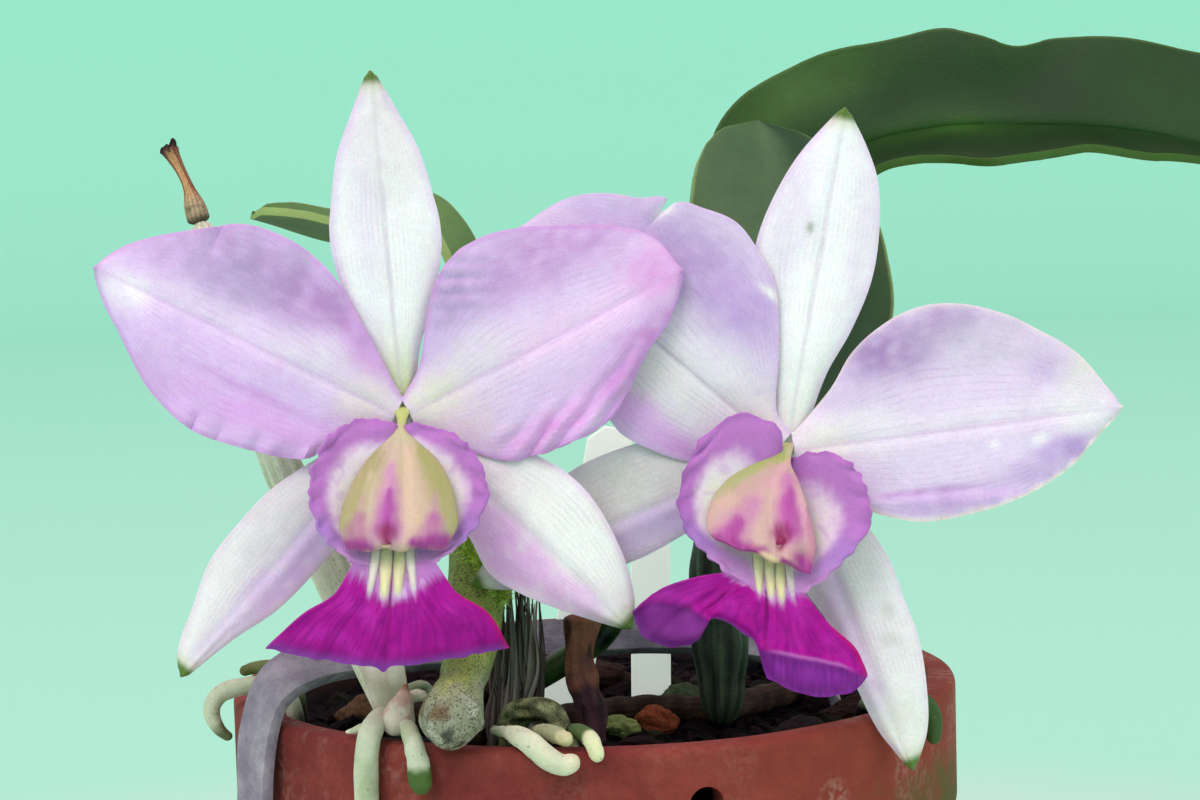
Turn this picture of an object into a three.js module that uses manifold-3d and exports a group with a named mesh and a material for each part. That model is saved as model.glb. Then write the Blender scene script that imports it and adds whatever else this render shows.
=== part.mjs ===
// A cattleya orchid in a terracotta pot, in millimetres, +Z up.
// The origin is the middle of the pot's underside, and the flowers face -Y.
import * as THREE from "three";
import { mergeVertices } from "three/addons/utils/BufferGeometryUtils.js";
import Module from "manifold-3d";

const wasm = await Module();
wasm.setup();

// Driving dimensions.
const GAP = 0.3; // clearance between touching pieces
const POT_HEIGHT = 100;
const RIM_RADIUS = 70;
const COLLAR_HEIGHT = 26;
const COLLAR_STEP = 3.5; // how far the wall stands back under the collar
const BASE_RADIUS = 48;
const WALL = 6;
const FLOOR = 7;
const DRAIN_RADIUS = 4.5;
const DRAIN_CIRCLE = 24;
const HANGING_HOLE_RADIUS = 3.2;
const HANGING_HOLE_DROP = 10.5; // from the rim down to the holes
const HANGING_HOLE_ANGLE = -74; // degrees from +X; the other two lie 120 degrees apart
const MEDIUM_TOP = 92;
const PETAL_THICKNESS = 1.2;
const SEPAL_SETBACK = 1.9; // the sepals lie this far behind the petals
const FLOWER_LIFT = 84; // degrees that a flower is raised from lying on its back
const FLOWER_ROLL = 1.45; // degrees clockwise, seen from the front
const LEAF_THICKNESS = 1.8;
const STRAP_WIDTH = 7;
const STRAP_THICKNESS = 3;
const TAG_THICKNESS = 0.9;

const part = new THREE.Group();

// ---- Helpers ----

const point = ([x, y, z]) => new THREE.Vector3(x, y, z);
const smooth = (points) => new THREE.CatmullRomCurve3(points.map(point), false, "centripetal");
const radians = THREE.MathUtils.degToRad;

// A value read from a list that is spread evenly from 0 to 1.
function spread(list, at) {
  const x = at * (list.length - 1);
  const i = Math.min(Math.floor(x), list.length - 2);
  return THREE.MathUtils.lerp(list[i], list[i + 1], x - i);
}

// A direction read the same way from a list of vectors.
function way(list, at) {
  const axes = [0, 1, 2].map((axis) => spread([...list, list.at(-1)].map((v) => v[axis]), at));
  return new THREE.Vector3(...axes).normalize();
}

// A half width read from pairs of distance and half width.
function reach(pairs, s) {
  const next = pairs.findIndex(([at]) => at > s);
  if (next < 0) return pairs.at(-1)[1];
  if (next === 0) return pairs[0][1];
  const [[s0, w0], [s1, w1]] = [pairs[next - 1], pairs[next]];
  return THREE.MathUtils.lerp(w0, w1, (s - s0) / (s1 - s0));
}

function bare(geometry) {
  geometry.deleteAttribute("normal");
  geometry.deleteAttribute("uv");
  return mergeVertices(geometry, 1e-4);
}

// A closed geometry as a manifold solid with its faces outwards.
function solid(geometry) {
  const merged = bare(geometry);
  const vertProperties = new Float32Array(merged.attributes.position.array);
  const triVerts = new Uint32Array(merged.index.array);
  const made = new wasm.Manifold(new wasm.Mesh({ numProp: 3, vertProperties, triVerts }));
  if (made.volume() > 0) return made;
  const turned = triVerts.map((_, i) => triVerts[i - (i % 3) + 2 - (i % 3)]);
  return new wasm.Manifold(new wasm.Mesh({ numProp: 3, vertProperties, triVerts: turned }));
}

function geometryOf(made) {
  const { vertProperties, triVerts } = made.getMesh();
  const geometry = new THREE.BufferGeometry();
  geometry.setAttribute("position", new THREE.BufferAttribute(vertProperties, 3));
  geometry.setIndex(new THREE.BufferAttribute(triVerts, 1));
  geometry.computeVertexNormals();
  return geometry;
}

function finish(color, roughness = 0.7) {
  return new THREE.MeshStandardMaterial({ color, roughness, metalness: 0 });
}

function add(name, made, material, group = part) {
  const mesh = new THREE.Mesh(geometryOf(made), material);
  mesh.name = name;
  group.add(mesh);
  return mesh;
}

// ---- Shapes ----

// A round stem along a smooth line, its radius read from a list spread along it.
function rod(points, radii, { sides = 8, steps = 8, squash = 1 } = {}) {
  return (grow = 0) => {
    const line = smooth(points);
    const frames = line.computeFrenetFrames(steps);
    const shape = new THREE.CylinderGeometry(1, 1, 1, sides, steps);
    const at = shape.attributes.position;
    for (let i = 0; i < at.count; i++) {
      const ring = Math.round((at.getY(i) + 0.5) * steps);
      const r = spread(radii, ring / steps) + grow;
      const place = line.getPointAt(ring / steps);
      place.addScaledVector(frames.normals[ring], at.getX(i) * r);
      place.addScaledVector(frames.binormals[ring], at.getZ(i) * r * squash);
      if (ring === 0) place.addScaledVector(frames.tangents[0], -grow);
      if (ring === steps) place.addScaledVector(frames.tangents[steps], grow);
      at.setXYZ(i, ...place);
    }
    return solid(shape);
  };
}

// A thin blade along a midrib. plus and minus are its half widths on either side, and
// plusWay and minusWay are the directions in which those sides spread.
function blade({ midrib, plus, minus, plusWay, minusWay, thick, along = 12, across = 6 }) {
  return (grow = 0) => {
    const line = smooth(midrib);
    const length = line.getLength();
    const shape = new THREE.BoxGeometry(1, 1, 1, along, across, 1);
    const at = shape.attributes.position;
    for (let i = 0; i < at.count; i++) {
      const u = at.getX(i) + 0.5;
      const side = 2 * at.getY(i);
      const centre = line.getPointAt(u);
      const tangent = line.getTangentAt(u);
      const [out, back] = [way(plusWay, u), way(minusWay, u)];
      const up = tangent.clone().cross(out.clone().sub(back)).normalize();
      const pairs = side > 0 ? plus : minus;
      const width = reach(pairs, u * length) + grow;
      centre.addScaledVector(side > 0 ? out : back, Math.abs(side) * width);
      centre.addScaledVector(up, 2 * at.getZ(i) * (thick / 2 + grow));
      if (u < 0.001) centre.addScaledVector(tangent, -grow);
      if (u > 0.999) centre.addScaledVector(tangent, grow);
      at.setXYZ(i, ...centre);
    }
    return solid(shape);
  };
}

// A sheet stretched between four edges: top and bottom run left to right,
// left and right run top to bottom.
function patch(top, bottom, left, right) {
  return (u, v) => {
    const p = top.getPoint(u).multiplyScalar(1 - v);
    p.addScaledVector(bottom.getPoint(u), v);
    p.addScaledVector(left.getPoint(v), 1 - u);
    p.addScaledVector(right.getPoint(v), u);
    p.addScaledVector(top.getPoint(0), -(1 - u) * (1 - v));
    p.addScaledVector(top.getPoint(1), -u * (1 - v));
    p.addScaledVector(bottom.getPoint(0), -(1 - u) * v);
    p.addScaledVector(bottom.getPoint(1), -u * v);
    return p;
  };
}

// ---- Pot and bark ----

function pot() {
  const collarFoot = POT_HEIGHT - COLLAR_HEIGHT;
  const outerFoot = RIM_RADIUS - COLLAR_STEP;
  const profile = [
    [0, 0], [BASE_RADIUS - 1.5, 0], [BASE_RADIUS, 1.5], [outerFoot, collarFoot - 1],
    [RIM_RADIUS - 2, collarFoot], [RIM_RADIUS - 0.4, collarFoot + 2], [RIM_RADIUS, collarFoot + 4.5],
    [RIM_RADIUS, POT_HEIGHT - 1.2], [RIM_RADIUS - 1.2, POT_HEIGHT],
    [RIM_RADIUS - WALL + 1, POT_HEIGHT], [RIM_RADIUS - WALL, POT_HEIGHT - 1],
    [outerFoot - WALL, collarFoot - 2], [BASE_RADIUS - WALL, FLOOR], [0, FLOOR],
  ];
  let shell = solid(new THREE.LatheGeometry(profile.map(([r, z]) => new THREE.Vector2(r, z)), 48));
  shell = shell.rotate([90, 0, 0]);
  for (let i = 0; i < 3; i++) {
    const drain = new THREE.CylinderGeometry(DRAIN_RADIUS, DRAIN_RADIUS, 3 * FLOOR, 12);
    drain.rotateX(Math.PI / 2);
    const turn = radians(30 + 120 * i);
    drain.translate(DRAIN_CIRCLE * Math.cos(turn), DRAIN_CIRCLE * Math.sin(turn), FLOOR / 2);
    shell = shell.subtract(solid(drain));
    const hole = new THREE.CylinderGeometry(HANGING_HOLE_RADIUS, HANGING_HOLE_RADIUS, 20, 12);
    hole.rotateZ(Math.PI / 2);
    hole.translate(RIM_RADIUS - WALL / 2, 0, POT_HEIGHT - HANGING_HOLE_DROP);
    hole.rotateZ(radians(HANGING_HOLE_ANGLE + 120 * i));
    shell = shell.subtract(solid(hole));
  }
  return shell;
}

function medium() {
  const collarFoot = POT_HEIGHT - COLLAR_HEIGHT - 2;
  const innerFoot = RIM_RADIUS - COLLAR_STEP - WALL;
  const profile = [
    [0, FLOOR + GAP], [BASE_RADIUS - WALL - GAP, FLOOR + GAP], [innerFoot - GAP, collarFoot],
    [innerFoot + 2.2 - GAP, MEDIUM_TOP - 2], [innerFoot + 1, MEDIUM_TOP], [0, MEDIUM_TOP],
  ];
  return solid(new THREE.LatheGeometry(profile.map(([r, z]) => new THREE.Vector2(r, z)), 32)).rotate(
    [90, 0, 0],
  );
}

// Loose bark lying on the bed: place, half sizes and turn.
const BARK = [
  [[11.7, -17.4], [3.7, 3, 2.8], 20],
  [[4.6, -19], [3.7, 2.6, 2.1], 15],
  [[17.2, 3], [4.2, 3.6, 3], 40],
  [[38, -32], [6, 4.5, 2.6], 70],
  [[50, -10], [6.5, 4.4, 2.4], 15],
  [[28, -46], [5, 3.6, 2.2], -30],
  [[-45.6, -6], [4.6, 3.8, 3.2], 55],
  [[0, 30], [7, 5, 3], 10],
  [[-26, 22], [6.5, 4.6, 2.8], 80],
];

function barkPiece([x, y], [a, b, c], turn) {
  const shape = new THREE.IcosahedronGeometry(1, 0);
  shape.scale(a, b, c);
  shape.rotateZ(radians(turn));
  shape.computeBoundingBox();
  shape.translate(x, y, MEDIUM_TOP + GAP - shape.boundingBox.min.z);
  return solid(shape);
}

// ---- The plant's own parts ----

// Each of these is trimmed to clear the ones listed before it, as they grew round each other.
const PLANT = [
  {
    name: "front_pseudobulb",
    color: "#93a257",
    make: rod(
      [
        [-25, -68.4, 101], [-24.9, -67.4, 105.4], [-23.4, -61, 109.6], [-22, -51, 114.4],
        [-20.9, -39.6, 124], [-20.6, -34.8, 134], [-20.6, -32, 142],
      ],
      [2.4, 5.7, 4.9, 4.3, 4.5, 4.8, 5.1, 5.3, 5.3, 5.2, 4.9, 4, 2.4],
      { steps: 12, sides: 10 },
    ),
  },
  {
    name: "right_pseudobulb",
    color: "#2f4530",
    make: rod(
      [[24, -17, 93], [24.1, -16, 104], [24.5, -12, 122], [26.9, -4, 138]],
      [3.4, 5.2, 5.8, 5.6, 2.2],
      { sides: 10 },
    ),
  },
  {
    name: "back_pseudobulb",
    color: "#4b5c33",
    make: rod(
      [[42.4, 13, 93], [42.4, 15, 110], [40.9, 17, 134], [39.4, 19, 152]],
      [3.2, 5, 5.6, 4.8, 2],
      { sides: 10 },
    ),
  },
  {
    name: "old_pseudobulb",
    color: "#c5c2a0",
    make: rod(
      [
        [-36.1, -48.5, 101.4], [-40.1, -45, 111], [-47.3, -38, 128], [-56.9, -28, 147],
        [-65.2, -19, 169], [-72, -12, 190.8],
      ],
      [2.4, 3.4, 3.9, 3.8, 3, 2.6, 2.2],
      { steps: 10 },
    ),
  },
  {
    name: "dried_flower_stalk",
    color: "#a07a5a",
    make: rod(
      [[-72.1, -11.9, 191.2], [-74.2, -10, 197.5], [-78.3, -6, 205.5]],
      [2, 1.3, 1, 1.7],
      { steps: 6 },
    ),
  },
  {
    name: "rhizome",
    color: "#5c4a38",
    make: rod(
      [
        [-33.1, -50, 103.4], [-28.6, -46, 101], [-21.6, -36, 96.5], [-12.6, -22, 95], [0, -11.5, 95],
        [13, -8.5, 95], [22.4, -11, 95], [35.4, 2, 95], [42.4, 9, 95],
      ],
      [2.3, 2.4, 2.4, 2.4, 2.4, 2.4, 2.2],
      { steps: 16 },
    ),
  },
  {
    name: "dry_stub",
    color: "#6b4436",
    make: rod(
      [[-0.2, -35, 93], [-0.8, -35, 101], [-2.6, -34, 108], [-2, -33.4, 115.4]],
      [1.8, 2.6, 3, 2.4, 4],
      { steps: 6 },
    ),
  },
  {
    name: "flower_stem",
    color: "#3f5a34",
    make: rod(
      [
        [-16.4, -27, 97.2], [-13.6, -27, 102.8], [-6, -27.6, 107.8], [1.5, -27.8, 112.6],
        [4.8, -28.2, 118.6], [4.2, -28.8, 126], [2.4, -29, 132],
      ],
      [2.3, 2.5, 2.5, 2.4, 2.3, 2.1, 2.1],
      { steps: 12 },
    ),
  },
  {
    name: "resting_bud",
    color: "#d9cbb8",
    make: rod(
      [[-35.8, -56.6, 102.6], [-34.2, -55.6, 105], [-33.2, -54.4, 109.5]],
      [1.6, 2.9, 2.4, 0.8],
      { steps: 6 },
    ),
  },
  {
    name: "root_over_front_rim",
    color: "#bcc7a8",
    make: rod(
      [
        [-37.6, -50.5, 103.4], [-38.8, -56.4, 103.2], [-39.8, -60.6, 100.8], [-40.4, -60.6, 94],
        [-40.4, -60, 82], [-40, -58.4, 70], [-39.2, -56, 60],
      ],
      [1.8, 2.1, 2.2, 2.1, 2.1, 2, 1.3],
      { steps: 14 },
    ),
  },
  {
    name: "root_short_green_tip",
    color: "#b9c6a2",
    make: rod(
      [
        [-33.2, -59.4, 103.3], [-32.4, -62.8, 102.9], [-31.4, -65.6, 100.6], [-30.6, -66.2, 96.4],
        [-30.3, -66.2, 92.6],
      ],
      [1.5, 2.2, 2.4, 2.4, 1.2],
      { steps: 8 },
    ),
  },
  {
    name: "root_left_loop",
    color: "#bcc7a8",
    make: rod(
      [
        [-55, -24, 92.6], [-57.6, -22, 101.4], [-61.9, -20, 103.2], [-67.2, -20.4, 103.4],
        [-70.8, -20.8, 102], [-72.2, -21, 99], [-71, -21.2, 95.8], [-68.6, -21.2, 93.8],
      ],
      [1.5, 1.8, 1.9, 1.9, 1.9, 1.9, 1.1],
      { steps: 14 },
    ),
  },
  {
    name: "root_left_green",
    color: "#6d7444",
    make: rod(
      [
        [-55.5, -14, 92.5], [-57, -15, 102.4], [-59.4, -16.5, 106], [-63.5, -17.5, 106.6],
        [-67, -17.8, 105.8],
      ],
      [1.2, 1.3, 1.4, 1.3, 0.9],
      { steps: 10 },
    ),
  },
  {
    name: "root_rim_plump",
    color: "#cfd6b8",
    make: rod(
      [
        [-18, -57.6, 101.7], [-14.8, -64, 102.4], [-11.3, -70.4, 102], [-8, -72.8, 99.6],
        [-5.4, -73.2, 98.5], [-2.7, -72.8, 99.4],
      ],
      [0.9, 1.2, 1.7, 1.9, 1.9, 1.2],
      { steps: 10 },
    ),
  },
  {
    name: "root_rim_small",
    color: "#aeb88c",
    make: rod(
      [[-10.8, -59, 101.8], [-7.8, -64.4, 102.3], [-5.8, -68, 102.3], [-4.2, -70.4, 102]],
      [0.9, 1.4, 1.5, 0.9],
      { steps: 6 },
    ),
  },
  {
    name: "root_rim_green",
    color: "#6f8a45",
    make: rod(
      [[-4.4, -59, 101.8], [-2.2, -65.2, 102.3], [-0.4, -70.4, 101.8], [0.7, -72.4, 98.8]],
      [1, 1.4, 1.5, 1],
      { steps: 8 },
    ),
  },
  {
    name: "root_right_rim",
    color: "#a7b38e",
    make: rod(
      [
        [48, -30, 94], [51, -34.4, 100.8], [55, -38.4, 102.2], [59.8, -39.2, 101.4], [61.8, -38.4, 98],
        [61.9, -38.2, 93],
      ],
      [1.2, 1.5, 1.6, 1.6, 1.6, 1],
      { steps: 10 },
    ),
  },
  {
    name: "root_behind_bud",
    color: "#bcc7a8",
    make: rod(
      [[-35.8, -46, 101], [-34.2, -41, 105.6], [-31.2, -38, 106.2], [-28.8, -36, 102]],
      [0.8, 0.9, 0.9, 0.8],
      { steps: 8 },
    ),
  },
  {
    name: "root_pale_left_tip",
    color: "#e6e6cc",
    make: rod(
      [[-37.6, -52.4, 101], [-40.6, -52.6, 101.6], [-44.4, -52.8, 101]],
      [1, 1, 0.4],
      { steps: 4, sides: 6 },
    ),
  },
  {
    name: "root_pale_right_tip",
    color: "#e6e6cc",
    make: rod(
      [[-33.4, -52.4, 106.6], [-31.2, -52.4, 107.2], [-28.6, -52.6, 106.4]],
      [1.1, 1.1, 0.4],
      { steps: 4, sides: 6 },
    ),
  },
  {
    name: "lying_bract",
    color: "#7d8f4c",
    make: rod(
      [[-16, -46, 93.2], [-13.4, -47.6, 102.6], [-8, -50, 103], [-3.4, -52, 94]],
      [1.6, 3, 2.8, 1.4],
      { steps: 8, squash: 0.7 },
    ),
  },
  {
    name: "cane_sheath",
    color: "#cdd3bf",
    make: blade({
      midrib: [[-35.9, -52.6, 103], [-36.8, -52.6, 108], [-37.8, -51, 114.4]],
      plus: [[0, 2.6], [6, 3.8], [12, 3.6]],
      minus: [[0, 2.6], [6, 3.9], [12, 3.8]],
      plusWay: [[1, 0.25, 0]],
      minusWay: [[-1, 0.25, 0]],
      thick: 0.9,
      along: 4,
      across: 4,
    }),
  },
  {
    name: "papery_sheath",
    color: "#8b8377",
    make: blade({
      midrib: [[-16, -40, 93], [-15.8, -36, 108], [-15.6, -32, 121]],
      plus: [[0, 3], [14, 2.8], [26, 1.2]],
      minus: [[0, 2.6], [14, 2.6], [26, 1.2]],
      plusWay: [[1, 0.2, 0]],
      minusWay: [[-1, 0.3, 0]],
      thick: 1,
      along: 6,
      across: 4,
    }),
  },
  {
    name: "moss_tuft",
    color: "#7f9a38",
    make: rod(
      [[-15.6, -38, 133], [-15.4, -41, 127], [-16, -45.4, 120]],
      [0.8, 2.2, 1.6, 0.7],
      { steps: 6 },
    ),
  },
];

// Leaves: one to a cane, channelled along the midrib.
const LEAVES = [
  {
    name: "leaf_left",
    color: "#4a6a45",
    make: blade({
      midrib: [
        [-20.6, -30.6, 142.8], [-21.2, -24, 160], [-23.2, -13, 178], [-30.6, -2, 187.6],
        [-45.6, -1, 186.4], [-63.1, -5, 191.6],
      ],
      plus: [[0, 1.6], [14, 8], [34, 13], [52, 12.5], [70, 8], [84, 3.4], [90, 0.6]],
      minus: [[0, 1.6], [14, 8], [34, 13], [52, 12], [70, 8], [84, 3.4], [90, 0.6]],
      plusWay: [[-0.3, -0.95, 0.1], [-0.2, -0.95, 0.2], [-0.1, -0.9, 0.3], [0, -0.9, 0.35]],
      minusWay: [[0.3, 0.95, 0.1], [0.2, 0.95, 0.2], [0.15, 0.9, 0.45], [0, 0.85, 0.5]],
      thick: LEAF_THICKNESS,
      along: 14,
      across: 4,
    }),
  },
  {
    name: "leaf_back_right",
    color: "#55724a",
    make: blade({
      midrib: [[27.1, -3.4, 138.8], [31.5, -1, 152], [37, 2, 172], [37.5, 5, 190], [34.6, 8.6, 206.8]],
      plus: [[0, 1.6], [12, 10], [30, 18.5], [46, 17.5], [58, 14.5], [66, 9], [70.5, 1]],
      minus: [[0, 1.6], [12, 11], [30, 22], [46, 20.5], [58, 15.5], [66, 9], [70.5, 1]],
      plusWay: [[-1, -0.12, 0.1]],
      minusWay: [[1, -0.12, -0.1]],
      thick: LEAF_THICKNESS,
      along: 12,
      across: 4,
    }),
  },
  {
    name: "leaf_arching_right",
    color: "#3a5a30",
    make: blade({
      midrib: [
        [39.4, 19.2, 152.8], [38.8, 21, 172], [43.4, 21, 190], [54.4, 18, 200.5], [70.4, 14, 204.4],
        [88.4, 9, 204.4], [106.4, 4, 202.8], [128.4, -2, 197], [147.4, -7, 186],
      ],
      plus: [
        [0, 1.6], [20, 11], [36, 20], [60, 22], [85, 19.5], [110, 18.5], [130, 17], [146, 10],
        [155, 1],
      ],
      minus: [
        [0, 1.6], [20, 10], [40, 16], [60, 18], [85, 18], [110, 17.5], [130, 15], [146, 9], [155, 1],
      ],
      plusWay: [
        [-1, 0.1, 0], [-0.9, 0.2, 0.35], [-0.45, 0.3, 0.85], [0.05, 0.3, 0.95], [0.15, 0.3, 0.93],
        [0.3, 0.3, 0.9], [0.45, 0.3, 0.8],
      ],
      minusWay: [
        [0.8, -0.6, 0], [0.6, -0.8, -0.1], [0.15, -0.95, -0.25], [0, -0.95, -0.3], [0, -0.95, -0.3],
        [0, -0.95, -0.3],
      ],
      thick: LEAF_THICKNESS,
      along: 20,
      across: 4,
    }),
  },
];

// ---- Flowers ----

// A tepal lies along +X of its own frame, with its upper or left-hand half towards +Y.
// bend is how far the tip curls back behind the flower.
function tepal({ plus, minus, bend = 2, setback = 0 }) {
  const length = plus.at(-1)[0];
  const start = 3.6;
  const shift = (pairs) => pairs.map(([s, w]) => [Math.max(s - start, 0), w]);
  return blade({
    midrib: [
      [start, 0, -setback], [length * 0.35, 0, -setback + 0.6], [length * 0.7, 0, -setback],
      [length, 0, -setback - bend],
    ],
    plus: shift(plus),
    minus: shift(minus),
    plusWay: [[0, 1, 0]],
    minusWay: [[0, -1, 0]],
    thick: PETAL_THICKNESS,
  });
}

const same = (pairs) => ({ plus: pairs, minus: pairs });

const LEFT_FLOWER = {
  name: "left_flower",
  centre: [-32.3, -55, 157.2],
  yaw: 3.6,
  tepals: [
    {
      name: "dorsal_sepal",
      angle: 95,
      sepal: true,
      ...same([
        [4, 1.8], [12, 4], [20, 7.3], [29, 9.5], [34, 9.7], [38, 9.1], [47, 7.2], [54, 4.1],
        [61.5, 0.5],
      ]),
    },
    {
      name: "left_petal",
      angle: 153.5,
      minus: [
        [4, 1.8], [11, 9.7], [17.5, 14.4], [23, 17.5], [29.6, 19.2], [36.5, 19.1], [41.5, 17.5],
        [46.6, 14], [52.5, 9.8], [57, 5.5], [60, 0.5],
      ],
      plus: [
        [4, 1.8], [10, 11.5], [13, 14.4], [22.5, 16.9], [31.7, 18.1], [38.4, 16.5], [43.5, 14.1],
        [51.3, 8.2], [56, 4.7], [60, 0.5],
      ],
    },
    {
      name: "right_petal",
      angle: 27.6,
      plus: [
        [4, 1.8], [7, 6.8], [14, 16], [19.7, 20.6], [26.5, 21.7], [33.6, 20.1], [41.6, 16.4],
        [49.2, 12.2], [54.4, 6.8], [56, 0.5],
      ],
      minus: [
        [4, 1.8], [11.4, 14.2], [18.2, 16.9], [25.6, 17.7], [30.8, 17.6], [36, 15.3], [40.7, 11.8],
        [44, 9.6], [49, 7.1], [52.6, 4.2], [56, 0.5],
      ],
    },
    {
      name: "left_lateral_sepal",
      angle: 229,
      sepal: true,
      plus: [[4, 1.8], [12, 4.5], [18, 5.6], [31.2, 5.8], [40, 5.1], [49.2, 2.5], [59.7, 0.5]],
      minus: [
        [4, 1.8], [10, 5], [17.5, 7.5], [24.8, 9.4], [32.2, 9.8], [41, 9.3], [49.7, 6.1], [56.5, 3.4],
        [59.7, 0.5],
      ],
    },
    {
      name: "right_lateral_sepal",
      angle: -43,
      sepal: true,
      plus: [
        [4, 1.8], [12, 7], [22.3, 11.2], [29.4, 12.5], [36.3, 11.7], [45.4, 8.3], [51.5, 4.4],
        [55, 0.5],
      ],
      minus: [[4, 1.8], [12, 5], [23.2, 7.6], [29.8, 9.8], [36, 8.8], [43.3, 6.1], [50, 3], [55, 0.5]],
    },
  ],
  lip: {
    top: [
      [-12.8, -2.8, 6], [-7.5, -0.4, 4], [-1.4, -1.2, 1.4], [0, -2, 1], [1.4, -1.2, 1.4],
      [6.5, -2, 4], [11, -4.2, 6],
    ],
    leftLobe: [
      [-12.8, -2.8, 6], [-15.8, -9, 7.5], [-16, -14.5, 8.5], [-13.8, -20.4, 9.5], [-8.4, -24.9, 10.5],
    ],
    rightLobe: [
      [11, -4.2, 6], [14, -9.4, 7.5], [14.4, -14, 8.5], [12.4, -20, 9.5], [7.7, -24.9, 10.5],
    ],
    waist: [[-8.4, -24.9, 10.5], [-2, -26, 9.6], [7.7, -24.9, 10.5]],
    leftFan: [[-8.4, -24.9, 10.5], [-12.6, -30.2, 11.2], [-18, -33.6, 11], [-23.9, -39.6, 8.6]],
    rightFan: [[7.7, -24.9, 10.5], [10.9, -30.2, 11.2], [15.3, -33.6, 11], [18.2, -40, 8.6]],
    hem: [
      [-23.9, -39.6, 8.6], [-14, -41.6, 10.4], [-4, -42.8, 11.6], [8, -41.6, 10.4], [18.2, -40, 8.6],
    ],
  },
  column: {
    line: [[0, 0.6, 3.4], [-0.3, -6, 5.4], [-0.5, -12, 7.6], [-0.6, -18, 10.2], [-0.6, -22.3, 12.4]],
    widths: [1.2, 2, 4.4, 6.6, 8.3, 9.2, 9.6, 9.2, 8],
  },
  anther: [-3.2, -23.6, 12.8],
  pedicel: [
    [2.4, -28.4, 133.6], [-2.6, -32, 138.6], [-10.6, -38.4, 143], [-20.6, -44.4, 149.6],
    [-28.6, -48.4, 155], [-32.1, -51.4, 156.9], [-32.3, -54.6, 157.2],
  ],
};

const RIGHT_FLOWER = {
  name: "right_flower",
  centre: [35.3, -48, 148.7],
  yaw: -3.5,
  tepals: [
    {
      name: "dorsal_sepal",
      angle: 80.6,
      sepal: true,
      plus: [
        [4, 1.8], [15, 5], [25, 9], [31, 11.2], [37.3, 11.4], [45.6, 9.5], [53.4, 6.3], [62.3, 0.5],
      ],
      minus: [
        [4, 1.8], [14.7, 4.6], [23.3, 7.7], [32.6, 9.8], [41.6, 9.7], [50.3, 8], [56.1, 5],
        [62.3, 0.5],
      ],
    },
    {
      name: "left_petal",
      angle: 140,
      plus: [
        [4, 1.8], [12, 12.4], [18.8, 15.3], [24.5, 16.6], [28.9, 15.7], [38, 15], [48, 11], [56, 6],
        [62.3, 0.5],
      ],
      minus: [
        [4, 1.8], [6.3, 4.5], [12.7, 12.9], [20, 20.8], [26, 23.8], [33.2, 25.5], [39.7, 23.5],
        [49, 17.9], [55, 14], [59.6, 8.6], [62.3, 0.5],
      ],
    },
    {
      name: "right_petal",
      angle: 8,
      plus: [
        [4, 1.8], [9.2, 9.8], [13.6, 15.5], [19.8, 20], [27.2, 22.4], [34.3, 21.9], [41.2, 19.4],
        [47.7, 15.2], [54.1, 9.8], [57.8, 3.9], [60, 0.5],
      ],
      minus: [
        [4, 1.8], [8, 8], [13.4, 12.3], [18.4, 14.5], [23.6, 15.6], [32.8, 15], [42, 13], [49.6, 9.3],
        [55.9, 3.9], [60, 0.5],
      ],
    },
    {
      name: "left_lateral_sepal",
      angle: 203.4,
      sepal: true,
      bend: -2,
      plus: [[4, 1.8], [12, 5], [22.4, 6.4], [31.4, 7.3], [42, 6.5], [53.3, 4.1], [61, 0.5]],
      minus: [[4, 1.8], [12, 7.5], [20, 11], [27, 12.1], [35.7, 12], [45, 9.5], [53, 5.5], [61, 0.5]],
    },
    {
      name: "right_lateral_sepal",
      angle: -67.9,
      sepal: true,
      plus: [
        [4, 1.8], [10, 6], [18.5, 8.7], [24.7, 9.9], [32.4, 9.7], [40, 9.5], [48.7, 7.5], [55.4, 4.9],
        [61, 0.5],
      ],
      minus: [
        [4, 1.8], [14, 6], [24, 6.1], [30.7, 4.4], [44.2, 3.8], [52.2, 3.1], [57.6, 1.5], [61, 0.5],
      ],
    },
  ],
  lip: {
    top: [
      [-15, 2.2, 6.6], [-8, 6.8, 5.6], [-1.6, 4.4, 4.4], [-0.6, -0.4, 1.8], [0.4, -1.6, 1],
      [1.6, -1, 1.4], [6, 0.2, 4], [11.4, -1.6, 6],
    ],
    leftLobe: [[-15, 2.2, 6.6], [-18.6, -6, 7.6], [-17.8, -13.4, 8.6], [-10.4, -21, 10.2]],
    rightLobe: [
      [11.4, -1.6, 6], [14.4, -7, 7.4], [14.4, -13, 8.6], [10.6, -18.4, 9.6], [3.4, -24.6, 10.4],
    ],
    waist: [[-10.4, -21, 10.2], [-4, -24.4, 9.6], [3.4, -24.6, 10.4]],
    leftFan: [[-10.4, -21, 10.2], [-15.4, -21.9, 11], [-22.4, -24.6, 11.4], [-26.6, -28.6, 10.6]],
    rightFan: [[3.4, -24.6, 10.4], [7.8, -29.9, 11.6], [12.3, -34.3, 12.4], [13.8, -39.6, 12]],
    hem: [
      [-26.6, -28.6, 10.6], [-22.6, -33.2, 9.8], [-17, -33.4, 10], [-12.6, -28.8, 12.6],
      [-8.4, -30.6, 12.9], [-5, -33.4, 13], [-3.6, -38.4, 12.5], [1.6, -43, 11.8], [8, -43.4, 11.4],
      [13.8, -39.6, 12],
    ],
  },
  column: {
    line: [[0.2, -0.2, 4.4], [-0.8, -5, 5.8], [-2.4, -10, 7.8], [-3.9, -14.8, 10.4], [-4.4, -18.4, 12.6]],
    widths: [1.2, 2.4, 4.6, 6.6, 8.2, 9.1, 9.4, 9.1, 8],
    tilt: radians(-16),
  },
  anther: [-2.6, -20.9, 13.2],
  pedicel: [
    [4.8, -27.4, 133.4], [10.4, -28, 138], [20.4, -32, 143.4], [29.4, -38, 147.4], [34.4, -43, 148.6],
    [35.3, -47.6, 148.7],
  ],
};

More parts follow.
